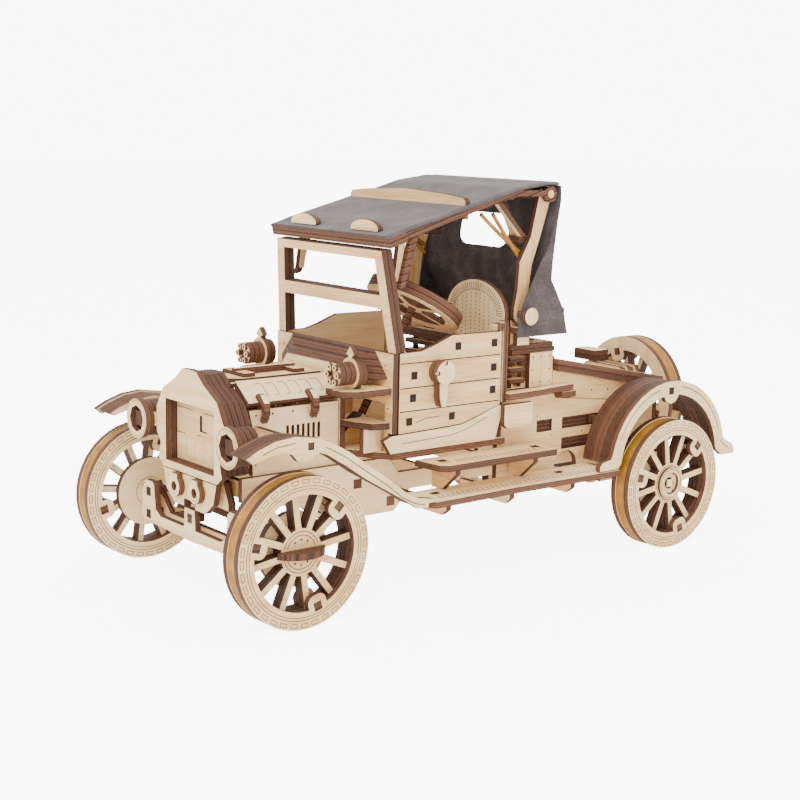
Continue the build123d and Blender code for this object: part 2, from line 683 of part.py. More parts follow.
handle_x = door_front - 22.7
handle_z = 102.0
handle_pin = 1.5
peg_size = 3.6
door_pegs = [(door_front - 8.7, 101), (door_front - 8.2, 90.4), (door_front - 6.2, 79.3),
             (hinge_x + 30.1, 79.5), (hinge_x + 27.2, 113), (hinge_x + 4.2, 113), (hinge_x + 4.2, 101),
             (hinge_x + 4.5, 90)]
for side_name, side in sides.items():
    with BuildPart() as door:
        side_plank([(door_front, sill_top), (door_front - 29.5, 74.8), (hinge_x + 24, 75.2),
                    (hinge_x + 14.9, 77.6), (hinge_x, 82.3), (hinge_x, 118.2), (hinge_x + 30.9, 118.4),
                    (door_front - 19.9, 114.2), (door_front - 12.4, 112.1), (door_front, door_low)],
                   body_half, side)
        y = side * (body_half - 1.5)
        rod_z(hinge_x, y, 1.5, 82.3, 118.2)
        rod_z(hinge_x, y, pin_radius, 79.4, 121.2)
        side_y = side * body_half
        rod_y(handle_x, handle_z, handle_pin + running, min(side_y, side_y - side * ply),
              max(side_y, side_y - side * ply), mode=Mode.SUBTRACT)
        side_tenons(door_pegs, body_half, side, 2.0, peg_size)
    save(door, f"door_{side_name}")
    with BuildPart() as handle:
        inner = side * (door_inner - 1.5)
        face = side * (body_half + clear)
        rod_y(handle_x, handle_z, handle_pin, min(inner, face + side), max(inner, face + side))
        side_plank([(handle_x - 2.6, handle_z), (handle_x + 2.6, handle_z), (handle_x + 2.2, handle_z - 12),
                    (handle_x + 1, handle_z - 16.5), (handle_x - 1.6, handle_z - 16.5),
                    (handle_x - 2.4, handle_z - 12)], body_half + clear + 4.5, side, 4.5)
        rod_y(handle_x, handle_z, 5.6, min(face, face + side * 6), max(face, face + side * 6))
        cap = side * (body_half + clear + 5.0)
        for angle in (0, 90):
            tip = math.radians(angle)
            rod_y(handle_x + 4.6 * math.cos(tip), handle_z + 4.6 * math.sin(tip), 1.1,
                  min(cap, cap + side), max(cap, cap + side), mode=Mode.SUBTRACT)
    save(handle, f"door_handle_{side_name}")

# ---------------------------------------------------------------- seat
seat_y = 18.6
seat_half = 22.3
seat_plane = post_back - 6.7
with BuildPart() as seat_base:
    cross_plank(box_points(-37, floor_top + kerf, 37, 82.9), post_front + 25)
    flat_plank(box_points(post_front + kerf, -37.5, post_front + 34, 37.5), 82.95)
    side_plank(box_points(post_front + 1, floor_top + kerf, post_front + 24.9, 82.9), 37, 1)
    side_plank(box_points(post_front + 1, floor_top + kerf, post_front + 24.9, 82.9), 37, -1)
save(seat_base, "seat_base")

with BuildPart() as seat_back:
    with BuildSketch(Plane.YZ.offset(seat_plane)) as shell:
        with Locations((seat_y, 124)):
            Ellipse(seat_half, 16.5)
        with Locations((seat_y, 118)):
            Rectangle(2 * seat_half - 6, 12)
        with Locations((seat_y, 100)):
            Rectangle(26, 28)
    extrude(shell.sketch, amount=ply)
save(seat_back, "seat_back")

# ---------------------------------------------------------------- trunk box behind the seat
trunk_front = seat_plane - 0.6
trunk_middle = trunk_back + 16.0
slot_rows = 4
with BuildPart() as trunk:
    for side in sides.values():
        side_plank(box_points(trunk_back, deck_height + kerf, trunk_middle, 104.9), bed_half, side)
        side_plank(box_points(trunk_middle + kerf, deck_height + kerf, trunk_middle + ply, 104.9), 36, side)
    cross_plank(box_points(-38.95, deck_height + kerf, 38.95, 104.9), trunk_back)
    for bottom in (90.0, 95.6, 101.2):
        flat_plank([(trunk_middle + ply + kerf, -bed_half), (trunk_front, -bed_half), (trunk_front, bed_half),
                    (trunk_middle + ply + kerf, bed_half)], bottom, 2.4)
    for side in sides.values():
        side_plank(box_points(trunk_front - 5, deck_height + kerf, trunk_front - 2, 104.9), 38, side, 1.5)
    flat_plank(box_points(trunk_back, -43, trunk_front, 43), 105, 2.4)
    flat_plank(box_points(trunk_back + 0.8, -42.4, trunk_front, 42.4), 105 + 2.4 + kerf, 2.4)
    for i in range(slot_rows):
        place = trunk_back + 5 + i * 5.8
        for side in sides.values():
            flat_plank(box_points(place, side * 12, place + 2.2, side * 34), 107.4, 4, mode=Mode.SUBTRACT)
save(trunk, "trunk")

# ---------------------------------------------------------------- cargo bed
rail_front_top = 101.0
rail_rear_top = 85.4
rail_rear = bed_back - 3.0
with BuildPart() as bed_sides:
    for side in sides.values():
        side_plank([(post_back - kerf, board_low), (bed_back, board_low), (bed_back, rail_rear_top - 6.1),
                    (trunk_back - 0.1, rail_front_top - 6.3), (trunk_back - 0.1, deck_height),
                    (post_back - kerf, deck_height)], bed_half, side)
        for x0, z0, x1, z1 in ((-0.9, 63.6, 9.6, 69.6), (-34, 63.8, -8.3, 69.5), (-34, 53, -8.3, 58.8)):
            side_plank(box_points(trunk_back + x0, z0, trunk_back + x1, z1), bed_half, side,
                       mode=Mode.SUBTRACT)
        rod_y(trunk_back - 11.5, 44, 8, min(side * 38, side * 43), max(side * 38, side * 43),
              mode=Mode.SUBTRACT)
save(bed_sides, "bed_sides")

with BuildPart() as bed_rails:
    for side in sides.values():
        for layer in (0, 1):
            drop = layer * (ply + kerf)
            side_plank([(trunk_back - 0.2, rail_front_top - drop), (rail_rear, rail_rear_top - drop),
                        (rail_rear, rail_rear_top - drop - 2.95), (trunk_back - 0.2, rail_front_top - drop - 2.95)],
                       46, side, 8)
save(bed_rails, "bed_rails")


# Tail: tailgate, carrier stack, and the peg that the spare hangs on.
carrier_layers = 5
with BuildPart() as tailgate:
    cross_plank(box_points(-bed_half, 58.6, bed_half, 78.5), bed_back - ply - kerf)
    for i in range(carrier_layers):
        inset = 1.2 * (i % 2)
        cross_plank(both([(0, 46 + inset), (13 - inset, 46 + inset), (20 - inset, 56), (20 - inset, 76),
                          (13 - inset, 86 - inset), (0, 86 - inset)]),
                    bed_back - ply - kerf - (i + 1) * (ply + kerf))
    rod_x(0, spare_height, spare_pin, spare_front - 14, bed_back - ply - kerf - 4 * ply)
    flat_plank(box_points(bed_back - 17, -25, bed_back - 6, -9), 86.1, 2.9)
    flat_plank(box_points(bed_back - 17, -25, bed_back - 6, -9), 89.05, 2.9)
save(tailgate, "tailgate")

# Starting lever on the side of the bed, with its plate and the shelf it swings on.
lever_x = trunk_back - 7.0
lever_y = bed_half + 2.6
lever_pin = 1.2
with BuildPart() as start_plate:
    side_plank([(hinge_x - 1.0, 82), (hinge_x - 19.8, 82), (hinge_x - 19.8, 72.3), (hinge_x - 17.8, 70.3),
                (hinge_x - 3.0, 70.3), (hinge_x - 1.0, 72.3)], 51.2, 1)
    side_plank(square(hinge_x - 11.7, 76, 4), 51.2, 1, 9.15)
    flat_plank(box_points(lever_x - 5, bed_half + kerf, lever_x + 5, bed_half + 5.5), 81)
    rod_z(lever_x, lever_y, lever_pin + running, 81, 84, mode=Mode.SUBTRACT)
save(start_plate, "start_plate")

with BuildPart() as start_lever:
    flat_plank([(hinge_x - 3, body_half + clear), (hinge_x - 3, 52), (hinge_x - 12, 52), (hinge_x - 26, 50.5),
                (lever_x + 3, 47.2), (lever_x - 4, 46.6), (lever_x - 4, bed_half + 1.6),
                (lever_x, bed_half + clear), (lever_x + 6, bed_half + clear), (hinge_x - 24, 45), (hinge_x - 8, body_half + clear)], 84.4)
    rod_z(lever_x, lever_y, lever_pin, 81.2, 85)
save(start_lever, "start_lever")

# ---------------------------------------------------------------- fenders
front_arch = [(26.7, 77.6), (20.5, 80.8), (11.9, 83.7), (2, 84.7), (-10.6, 82.7), (-18, 79.6), (-27.3, 74.4),
              (-36.9, 67.8), (-50, 59), (-58.7, 52.2), (-66.2, 48.5), (-75.3, 46.9), (-75.3, 45.05),
              (-72.6, 45.05), (-72.6, 42.9), (-66.3, 43.3), (-58.8, 48), (-37, 60.5), (-24.3, 68.9),
              (-15, 74.6), (-10.7, 76.1), (-6.5, 73.6), (-2.9, 72.3), (0.6, 73.5), (3.6, 76.8), (7.2, 78),
              (14.7, 77.2), (23.3, 74.8)]
front_core = [(25.2, 77.4), (20.2, 79.9), (11.7, 82.8), (2, 83.8), (-10.3, 81.8), (-17.6, 78.8),
              (-26.8, 73.6), (-36.4, 67), (-49.5, 58.2), (-58.3, 51.3), (-66, 47.5), (-72.5, 46),
              (-72.5, 43.8), (-66.4, 44.2), (-59.2, 48.9), (-37.4, 61.4), (-24.7, 69.8), (-13, 76.4),
              (3, 78.6), (14.9, 78.1), (23.4, 75.8)]
front_layers = 4
stay = (-6.3, 79.9)
for side_name, side in sides.items():
    with BuildPart() as fender:
        side_plank([(front_axle + a, b) for a, b in front_arch], fender_face, side)
        for i in range(front_layers):
            side_plank([(front_axle + a, b) for a, b in front_core],
                       fender_face - (i + 1) * (ply + kerf), side)
        bar = square(front_axle + stay[0], stay[1] - 0.4, 3)
        side_plank(square(front_axle + stay[0], stay[1] - 0.4, 3 + 2 * kerf), fender_face, side, 17,
                   mode=Mode.SUBTRACT)
        side_plank(bar, fender_face, side, fender_face - hood_half - kerf)
    save(fender, f"fender_front_{side_name}")


def arch_points(radius, first, last, count, centre):
    """Points along an arc over a wheel, angles in degrees from straight forwards."""
    turns = [math.radians(first + (last - first) * i / count) for i in range(count + 1)]
    return [(centre[0] + radius * math.cos(t), centre[1] + radius * math.sin(t)) for t in turns]


arch_centre = (rear_axle - 2.0, 44.0)
arch_outer = 43.7
arch_inner = 36.5
front_foot = [(rear_axle + 36.8, 45.6), (rear_axle + 49.5, 45.6), (rear_axle + 49.5, 48),
              (rear_axle + 47.5, 50), (rear_axle + 41.9, 51)]
rear_foot = [(rear_axle - 47.8, 51), (rear_axle - 52, 49), (rear_axle - rear_overhang, 46.5),
             (rear_axle - rear_overhang, 43.4), (rear_axle - 44, 43.4), (rear_axle - 39.2, 47)]
lobe = [(rear_axle - 7.5, 80), (rear_axle - 4.8, 77), (rear_axle - 1.3, 75.7), (rear_axle + 2.4, 77),
        (rear_axle + 5, 80)]
rear_arch = (front_foot + arch_points(arch_outer, 12, 168, 20, arch_centre) + rear_foot
             + arch_points(arch_inner, 172, 98, 9, arch_centre) + lobe[1:-1]
             + arch_points(arch_inner, 80, 6, 9, arch_centre))
core_arch = (arch_points(arch_outer - 1.0, 5, 173, 21, arch_centre)
             + arch_points(arch_inner + 1.0, 173, 5, 21, arch_centre))
rear_layers = 6
for side_name, side in sides.items():
    with BuildPart() as fender:
        side_plank(rear_arch, fender_face, side)
        side_tenons([(rear_axle - 1.1, 82.5)], fender_face, side, 2.0, peg_size)
        for i in range(rear_layers):
            side_plank(core_arch, fender_face - (i + 1) * (ply + kerf), side, ply)
        for angle in (35, 145):
            x, z = arch_points(40, angle, angle, 1, arch_centre)[0]
            side_plank(square(x, z, 4), fender_face - (rear_layers + 1) * (ply + kerf), side,
                       fender_face - (rear_layers + 1) * (ply + kerf) - bed_half - kerf)
    save(fender, f"fender_rear_{side_name}")

# ---------------------------------------------------------------- folding roof
pivot = (post_back - 10.75, 125.0)
crown = (pivot[0] - 15.0, 184.0)
roof_start = dash_front + 4.0
arm_outer = 44.0
rail_outer = 47.4
roof_rod = 2.0
with BuildPart() as roof_pivot:
    rod_y(*pivot, roof_rod, -49.6, 49.6)
    for side in sides.values():
        side_plank([(pivot[0] - 5, 109.9), (trunk_front - 0.6, 109.9), (trunk_front - 0.6, 118),
                    (pivot[0] + 3.6, 128.5), (pivot[0] - 3.6, 128.5), (pivot[0] - 5, 118)], 40.6, side)
        rod_y(*pivot, 4.4, min(side * 49.6, side * 52.6), max(side * 49.6, side * 52.6))
save(roof_pivot, "roof_pivot")

with BuildPart() as roof_arms:
    for side in sides.values():
        side_plank([(pivot[0] + 2, pivot[1] - 4), (pivot[0] + 4, pivot[1] - 1.5), (pivot[0] + 4, pivot[1] + 3),
                    (pivot[0] + 2, 138), (pivot[0] + 1.2, 151), (pivot[0] - 5.6, 163), (crown[0] + 4, 186),
                    (crown[0] + 1.5, 187.4), (crown[0] - 2.5, 187.4), (crown[0] - 4, 185.5),
                    (pivot[0] - 12.5, 165), (pivot[0] - 6.7, 149), (pivot[0] - 5, 136),
                    (pivot[0] - 4, pivot[1] - 1.5), (pivot[0] - 2, pivot[1] - 4)], arm_outer, side)
        rod_y(*pivot, roof_rod + running, min(side * 40, side * 45), max(side * 40, side * 45),
              mode=Mode.SUBTRACT)
    rod_y(*crown, roof_rod, -rail_outer, rail_outer)
    rod_y(crown[0] - 0.5, crown[1], 3.4, -arm_outer + ply, arm_outer - ply)
    for side in sides.values():
        for i in range(3):
            side_plank([(crown[0] + 29 - 5 * i, 179.6), (crown[0] + 25.6 - 5 * i, 179.6), (crown[0] + 9.4 - i, 163),
                        (crown[0] + 12.6 - i, 163)], arm_outer - 3.4 - i * (ply + 0.8), side, ply)
        side_plank(box_points(crown[0] + 5, 159.5, crown[0] + 14, 162.9), arm_outer - 3.3, side, 11)
save(roof_arms, "roof_arms")

rail_line = [(roof_start - 2, 163.2), (roof_start - 46.5, 176.2), (crown[0] + 22, 184.6), (crown[0], 184.2)]
with BuildPart() as roof_rails:
    for side in sides.values():
        side_plank([(x, z - 1.5) for x, z in rail_line] + [(x, z + 1.5) for x, z in reversed(rail_line)],
                   rail_outer, side)
        rod_y(*crown, 4.0, min(side * rail_outer, side * (rail_outer - ply)),
              max(side * rail_outer, side * (rail_outer - ply)))
        rod_y(*crown, roof_rod + running, min(side * 44, side * 48), max(side * 44, side * 48),
              mode=Mode.SUBTRACT)
    front_edge = [(roof_start, 165.4), (roof_start - 1.2, 160.6), (roof_start - 11, 163.6),
                  (roof_start - 9.8, 168.3)]
    extrude(outline(Plane.XZ.offset(-48.2), front_edge), amount=96.4)
    for back, low in ((crown[0] + 22, 181.6), (roof_start - 50, 172.6)):
        cross_plank(box_points(-44.5, low, 44.5, low + 4.2), back)
    for side in sides.values():
        side_plank([(roof_start - 16, 164), (roof_start - 21, 166), (roof_start - 13.5, 142),
                    (roof_start - 10.5, 141)], arm_outer - 0.5, side)
        side_plank([(roof_start - 12, 164.3), (roof_start - 16, 165.6), (roof_start - 12.8, 144),
                    (roof_start - 9.4, 144.6)], arm_outer - 0.5 - ply - kerf, side)
        rod_y(roof_start - 17.2, 165.4, 1.6, min(side * 41, side * 45), max(side * 41, side * 45))
save(roof_rails, "roof_rails")


cap_half = 10.6
with BuildPart() as roof_caps:
    for middle in (-23.5, 26.0):
        with BuildSketch(Plane.YZ.offset(roof_start - 5.4)) as cap:
            with Locations((middle, 168.4)):
                Ellipse(cap_half, 4.2)
            with Locations((middle, 161.6)):
                Rectangle(30, 11.4, mode=Mode.SUBTRACT)
        extrude(cap.sketch, amount=ply)
    bow = [(0, 178.4), (44, 178.4), (45.6, 179.2), (45.6, 181), (44, 182.6), (30, 184), (0, 185.4)]
    cross_plank(both(bow), roof_start - 50)
save(roof_caps, "roof_caps")

# ---------------------------------------------------------------- cloth top
cloth = 0.8
cloth_half = 48.2
top_line = [(roof_start + 0.6, 165.5), (roof_start - 9.8, 168.6), (roof_start - 46.5, 178.2),
            (crown[0] + 22, 186.6), (crown[0] + 3, roof_height - cloth), (crown[0] - 4.6, roof_height - cloth)]
with BuildPart() as cloth_top:
    upper = [(x, z + cloth) for x, z in reversed(top_line)]
    side_plank(top_line + upper, cloth_half, 1, 2 * cloth_half)
    for middle in (-23.5, 26.0):
        flat_plank(box_points(roof_start - 5.5, middle - 10.8, roof_start - 2.3, middle + 10.8), 165, 8,
                   mode=Mode.SUBTRACT)
    flat_plank(box_points(roof_start - 50.1, -45.7, roof_start - 46.9, 45.7), 176, 12, mode=Mode.SUBTRACT)
save(cloth_top, "cloth_top")

back_line = [(crown[0] - 5.2, 188.2), (crown[0] - 5.6, 181), (crown[0] - 3.4, 168.8), (crown[0] - 1.4, 152),
             (crown[0] - 0.8, 142), (crown[0] - 4.6, 135.6), (crown[0] - 9.9, 126.3), (crown[0] - 13.0, 114.4)]
flap_edge = [(crown[0] + 20.5, 117), (crown[0] + 20, 124), (crown[0] + 15.5, 134), (crown[0] + 8, 148),
             (crown[0] + 1.5, 158), (crown[0] - 1.5, 168.8)]
with BuildPart() as cloth_back:
    inner_line = [(x + cloth, z) for x, z in reversed(back_line)]
    side_plank(back_line + inner_line, cloth_half + cloth, 1, 2 * (cloth_half + cloth))
    with BuildSketch(Plane.YZ.offset(crown[0] - 12)) as curtain:
        with Locations((-4, 163.6)):
            RectangleRounded(37, 17, 6)
    extrude(curtain.sketch, amount=14, mode=Mode.SUBTRACT)
    for side in sides.values():
        side_plank(back_line[2:] + flap_edge, cloth_half + cloth, side, cloth)
        rod_y(*pivot, roof_rod + 0.4, min(side * 46, side * 50), max(side * 46, side * 50), mode=Mode.SUBTRACT)
save(cloth_back, "cloth_back")

with BuildPart() as cloth_base:
    for side in sides.values():
        flat_plank(box_points(crown[0] - 10.4, side * 42.2, pivot[0] + 5, side * 47.9), 116)
        side_plank(box_points(pivot[0] - 5, 109.9, pivot[0] + 3, 115.95), 46, side)
    flat_plank(box_points(crown[0] - 10.4, -42.3, crown[0] - 6.5, 42.3), 116)
    flat_plank(box_points(crown[0] - 17.5, 38, crown[0] - 11.3, 42), 122.5, 4)
save(cloth_base, "cloth_base")

# Stretched rubber bands that pull the roof frame closed, one doubled band on each side.
band_front = (crown[0] + 41.5, 174.6)
band_rear = (crown[0] + 8.6, 153.0)
band_radius = 1.1
with BuildPart() as roof_bands:
    for side in sides.values():
        for offset in (0, 1):
            front = Vector(band_front[0] - 7.5 * offset, side * (arm_outer - 1.2 - 0.3 * offset), band_front[1])
            rear = Vector(band_rear[0], side * (arm_outer - 5.2), band_rear[1] - 4 * offset)
            along = (rear - front).normalized()
            with BuildSketch(Plane(origin=front, x_dir=(0, 1, 0), z_dir=along)) as strand:
                Circle(band_radius)
            extrude(strand.sketch, amount=(rear - front).length)
save(roof_bands, "roof_bands")
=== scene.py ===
"""Finish of the plywood roadster kit: birch faces, laser-burnt edges and lines, ochre rubber bands and a
dark woven cloth top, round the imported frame. Everything is in metres, in the frame's own axes."""

import json
import math
from random import Random

import bmesh
import bpy
from mathutils import Matrix, Vector
from mathutils.bvhtree import BVHTree

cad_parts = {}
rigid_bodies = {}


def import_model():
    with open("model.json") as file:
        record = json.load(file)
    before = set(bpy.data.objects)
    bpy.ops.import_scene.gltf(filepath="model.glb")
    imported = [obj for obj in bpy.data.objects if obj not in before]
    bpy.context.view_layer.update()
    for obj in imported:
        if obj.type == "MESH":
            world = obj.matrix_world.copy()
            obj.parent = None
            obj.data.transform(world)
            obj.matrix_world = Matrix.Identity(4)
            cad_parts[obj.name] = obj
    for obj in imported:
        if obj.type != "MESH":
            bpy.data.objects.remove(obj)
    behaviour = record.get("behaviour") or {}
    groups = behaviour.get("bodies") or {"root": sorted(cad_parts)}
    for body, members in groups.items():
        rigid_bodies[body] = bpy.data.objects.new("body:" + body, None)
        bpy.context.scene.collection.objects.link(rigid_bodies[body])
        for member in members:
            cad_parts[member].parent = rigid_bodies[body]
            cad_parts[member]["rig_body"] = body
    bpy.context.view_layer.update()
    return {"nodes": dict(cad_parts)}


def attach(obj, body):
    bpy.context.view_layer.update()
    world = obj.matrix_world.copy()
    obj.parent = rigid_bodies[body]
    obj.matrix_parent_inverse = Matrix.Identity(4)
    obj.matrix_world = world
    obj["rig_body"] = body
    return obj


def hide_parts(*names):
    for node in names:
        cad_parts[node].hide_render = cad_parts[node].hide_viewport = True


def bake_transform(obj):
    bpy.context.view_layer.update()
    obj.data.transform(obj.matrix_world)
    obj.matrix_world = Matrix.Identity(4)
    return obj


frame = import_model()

MM = 0.001

FRONT_AXLE = 126.75
REAR_AXLE = -106.75
AXLE_HEIGHT = 34.0
TRUNK_BACK = -47.25
LAMP_FRONT, LAMP_Y, LAMP_Z = 145.35, 40.3, 76.3


# ---------------------------------------------------------------- finishes
def paint(code):
    """A hex sRGB colour as linear RGBA."""
    parts = [int(code[i : i + 2], 16) / 255 for i in (1, 3, 5)]
    line = [c / 12.92 if c <= 0.04045 else ((c + 0.055) / 1.055) ** 2.4 for c in parts]
    return (*line, 1.0)


def add_node(tree, kind, inputs=None, **settings):
    """One node with its settings; an input is a value or another node's output, and stops are (place, colour)."""
    made = tree.nodes.new(kind)
    stops = settings.pop("stops", ())
    for key, value in settings.items():
        setattr(made, key, value)
    for number, (place, code) in enumerate(stops):
        if number >= len(made.color_ramp.elements):
            made.color_ramp.elements.new(1.0)
        made.color_ramp.elements[number].position = place
        made.color_ramp.elements[number].color = paint(code)
    for key, value in (inputs or {}).items():
        if isinstance(value, bpy.types.NodeSocket):
            tree.links.new(value, made.inputs[key])
        else:
            made.inputs[key].default_value = value
    return made


def finish(name):
    """A new material with an empty node tree and its output."""
    material = bpy.data.materials.new(name)
    material.use_nodes = True
    material.node_tree.nodes.clear()
    output = add_node(material.node_tree, "ShaderNodeOutputMaterial")
    return material, material.node_tree, output


def birch_face():
    """Birch plywood, sanded and unvarnished: pale cream, fine straight grain, faint wider bands of colour.
    Grain streaks are about 0.5 mm wide and 20 mm long, drawn along the sheet's own length in the ply map."""
    material, tree, output = finish("birch_ply_face")
    ply_map = add_node(tree, "ShaderNodeUVMap", uv_map="ply").outputs["UV"]
    tone = add_node(tree, "ShaderNodeAttribute", attribute_name="tone").outputs["Fac"]
    streaks = add_node(tree, "ShaderNodeMapping", {"Vector": ply_map, "Scale": (50, 1800, 1)})
    grain = add_node(tree, "ShaderNodeTexNoise", {"Vector": streaks.outputs["Vector"], "Scale": 1.0,
                                                 "Detail": 3.0, "Roughness": 0.6})
    wide = add_node(tree, "ShaderNodeMapping", {"Vector": ply_map, "Scale": (18, 150, 1)})
    bands = add_node(tree, "ShaderNodeTexNoise", {"Vector": wide.outputs["Vector"], "Scale": 1.0, "Detail": 2.0})
    mixed = add_node(tree, "ShaderNodeMath", {0: grain.outputs["Fac"], 1: bands.outputs["Fac"]}, operation="ADD")
    halved = add_node(tree, "ShaderNodeMath", {0: mixed.outputs["Value"], 1: 0.5}, operation="MULTIPLY")
    shifted = add_node(tree, "ShaderNodeMath", {0: tone, 1: 0.22, 2: halved.outputs["Value"]},
                       operation="MULTIPLY_ADD")
    colour = add_node(tree, "ShaderNodeValToRGB", {"Fac": shifted.outputs["Value"]},
                      stops=[(0.28, "#C4935A"), (0.42, "#DCB47E"), (0.55, "#E8C896"), (0.72, "#F3DAB0")])
    bump = add_node(tree, "ShaderNodeBump", {"Height": grain.outputs["Fac"], "Strength": 0.12,
                                             "Distance": 0.0001})
    surface = add_node(tree, "ShaderNodeBsdfPrincipled", {"Base Color": colour.outputs["Color"], "Roughness": 0.62,
                                                          "Normal": bump.outputs["Normal"]})
    surface.inputs["Specular IOR Level"].default_value = 0.35
    tree.links.new(surface.outputs["BSDF"], output.inputs["Surface"])
    return material


def burnt_edge():
    """A laser-cut edge: brown char over the end grain, with the three veneers of each 3 mm sheet showing."""
    material, tree, output = finish("laser_burnt_edge")
    ply_map = add_node(tree, "ShaderNodeUVMap", uv_map="ply").outputs["UV"]
    tone = add_node(tree, "ShaderNodeAttribute", attribute_name="tone").outputs["Fac"]
    split = add_node(tree, "ShaderNodeSeparateXYZ", {"Vector": ply_map})
    depth = add_node(tree, "ShaderNodeMath", {0: split.outputs["Y"], 1: 1000.0 / 3.0}, operation="MULTIPLY")
    sheet = add_node(tree, "ShaderNodeMath", {0: depth.outputs["Value"]}, operation="FRACT")
    smear = add_node(tree, "ShaderNodeMapping", {"Vector": ply_map, "Scale": (420, 900, 1)})
    char = add_node(tree, "ShaderNodeTexNoise", {"Vector": smear.outputs["Vector"], "Scale": 1.0, "Detail": 4.0})
    scatter = add_node(tree, "ShaderNodeMath", {0: char.outputs["Fac"], 1: 0.34, 2: -0.17},
                       operation="MULTIPLY_ADD")
    veneer = add_node(tree, "ShaderNodeMath", {0: sheet.outputs["Value"], 1: scatter.outputs["Value"]},
                      operation="ADD")
    layers = add_node(tree, "ShaderNodeValToRGB", {"Fac": veneer.outputs["Value"]},
                      stops=[(0.02, "#2A170E"), (0.16, "#5A3826"), (0.36, "#6C4631"), (0.5, "#432A1C"),
                             (0.66, "#724C36"), (0.86, "#593826"), (0.98, "#2E1A10")])
    light = add_node(tree, "ShaderNodeMath", {0: tone, 1: 0.5, 2: 0.8}, operation="MULTIPLY_ADD")
    toned = add_node(tree, "ShaderNodeHueSaturation", {"Color": layers.outputs["Color"],
                                                       "Value": light.outputs["Value"]})
    bump = add_node(tree, "ShaderNodeBump", {"Height": char.outputs["Fac"], "Strength": 0.3, "Distance": 0.0001})
    surface = add_node(tree, "ShaderNodeBsdfPrincipled", {"Base Color": toned.outputs["Color"],
                                                          "Roughness": 0.72, "Normal": bump.outputs["Normal"]})
    surface.inputs["Specular IOR Level"].default_value = 0.3
    tree.links.new(surface.outputs["BSDF"], output.inputs["Surface"])
    return material


def burnt_line(name, dark, light):
    """A line scored by the laser: a thin brown groove, darker where the beam stayed longer."""
    material, tree, output = finish(name)
    place = add_node(tree, "ShaderNodeTexCoord").outputs["Object"]
    char = add_node(tree, "ShaderNodeTexNoise", {"Vector": place, "Scale": 700.0, "Detail": 2.0})
    colour = add_node(tree, "ShaderNodeValToRGB", {"Fac": char.outputs["Fac"]},
                      stops=[(0.35, dark), (0.7, light)])
    surface = add_node(tree, "ShaderNodeBsdfPrincipled", {"Base Color": colour.outputs["Color"],
                                                          "Roughness": 0.8})
    surface.inputs["Specular IOR Level"].default_value = 0.2
    tree.links.new(surface.outputs["BSDF"], output.inputs["Surface"])
    return material


def band_rubber():
    """Natural latex rubber band: ochre, slightly shiny, a little paler where it is stretched."""
    material, tree, output = finish("ochre_latex_rubber")
    place = add_node(tree, "ShaderNodeTexCoord").outputs["Object"]
    cloud = add_node(tree, "ShaderNodeTexNoise", {"Vector": place, "Scale": 120.0, "Detail": 3.0})
    colour = add_node(tree, "ShaderNodeValToRGB", {"Fac": cloud.outputs["Fac"]},
                      stops=[(0.3, "#7E5208"), (0.55, "#9A6A0F"), (0.75, "#B2801C")])
    bump = add_node(tree, "ShaderNodeBump", {"Height": cloud.outputs["Fac"], "Strength": 0.1, "Distance": 0.0003})
    surface = add_node(tree, "ShaderNodeBsdfPrincipled", {"Base Color": colour.outputs["Color"], "Roughness": 0.55,
                                                          "Normal": bump.outputs["Normal"]})
    tree.links.new(surface.outputs["BSDF"], output.inputs["Surface"])
    return material


def canvas():
    """Dyed cotton canvas: grey-brown, soft nap, threads about 0.8 mm apart so that the weave can be seen."""
    material, tree, output = finish("dyed_cotton_canvas")
    flat = add_node(tree, "ShaderNodeUVMap", uv_map="cloth").outputs["UV"]
    thread = 2 * math.pi / 0.0008
    split = add_node(tree, "ShaderNodeSeparateXYZ", {"Vector": flat})
    warp = add_node(tree, "ShaderNodeMath", {0: split.outputs["X"], 1: thread}, operation="MULTIPLY")
    weft = add_node(tree, "ShaderNodeMath", {0: split.outputs["Y"], 1: thread}, operation="MULTIPLY")
    up = add_node(tree, "ShaderNodeMath", {0: warp.outputs["Value"]}, operation="SINE")
    across = add_node(tree, "ShaderNodeMath", {0: weft.outputs["Value"]}, operation="SINE")
    weave = add_node(tree, "ShaderNodeMath", {0: up.outputs["Value"], 1: across.outputs["Value"]},
                     operation="MULTIPLY")
    scaled = add_node(tree, "ShaderNodeMapping", {"Vector": flat, "Scale": (1, 1, 1)})
    wear = add_node(tree, "ShaderNodeTexNoise", {"Vector": scaled.outputs["Vector"], "Scale": 60.0, "Detail": 6.0,
                                                "Roughness": 0.65})
    fluff = add_node(tree, "ShaderNodeTexNoise", {"Vector": scaled.outputs["Vector"], "Scale": 900.0,
                                                 "Detail": 3.0})
    both = add_node(tree, "ShaderNodeMath", {0: wear.outputs["Fac"], 1: 0.6, 2: 0.0}, operation="MULTIPLY_ADD")
    mixed = add_node(tree, "ShaderNodeMath", {0: fluff.outputs["Fac"], 1: 0.4, 2: both.outputs["Value"]},
                     operation="MULTIPLY_ADD")
    colour = add_node(tree, "ShaderNodeValToRGB", {"Fac": mixed.outputs["Value"]},
                      stops=[(0.34, "#322A2A"), (0.5, "#443B3B"), (0.66, "#5E5454")])
    bump = add_node(tree, "ShaderNodeBump", {"Height": weave.outputs["Value"], "Strength": 0.35,
                                             "Distance": 0.0001})
    surface = add_node(tree, "ShaderNodeBsdfPrincipled", {"Base Color": colour.outputs["Color"], "Roughness": 0.95,
                                                          "Normal": bump.outputs["Normal"]})
    surface.inputs["Specular IOR Level"].default_value = 0.15
    surface.inputs["Sheen Weight"].default_value = 0.25
    surface.inputs["Sheen Roughness"].default_value = 0.5
    tree.links.new(surface.outputs["BSDF"], output.inputs["Surface"])
    return material


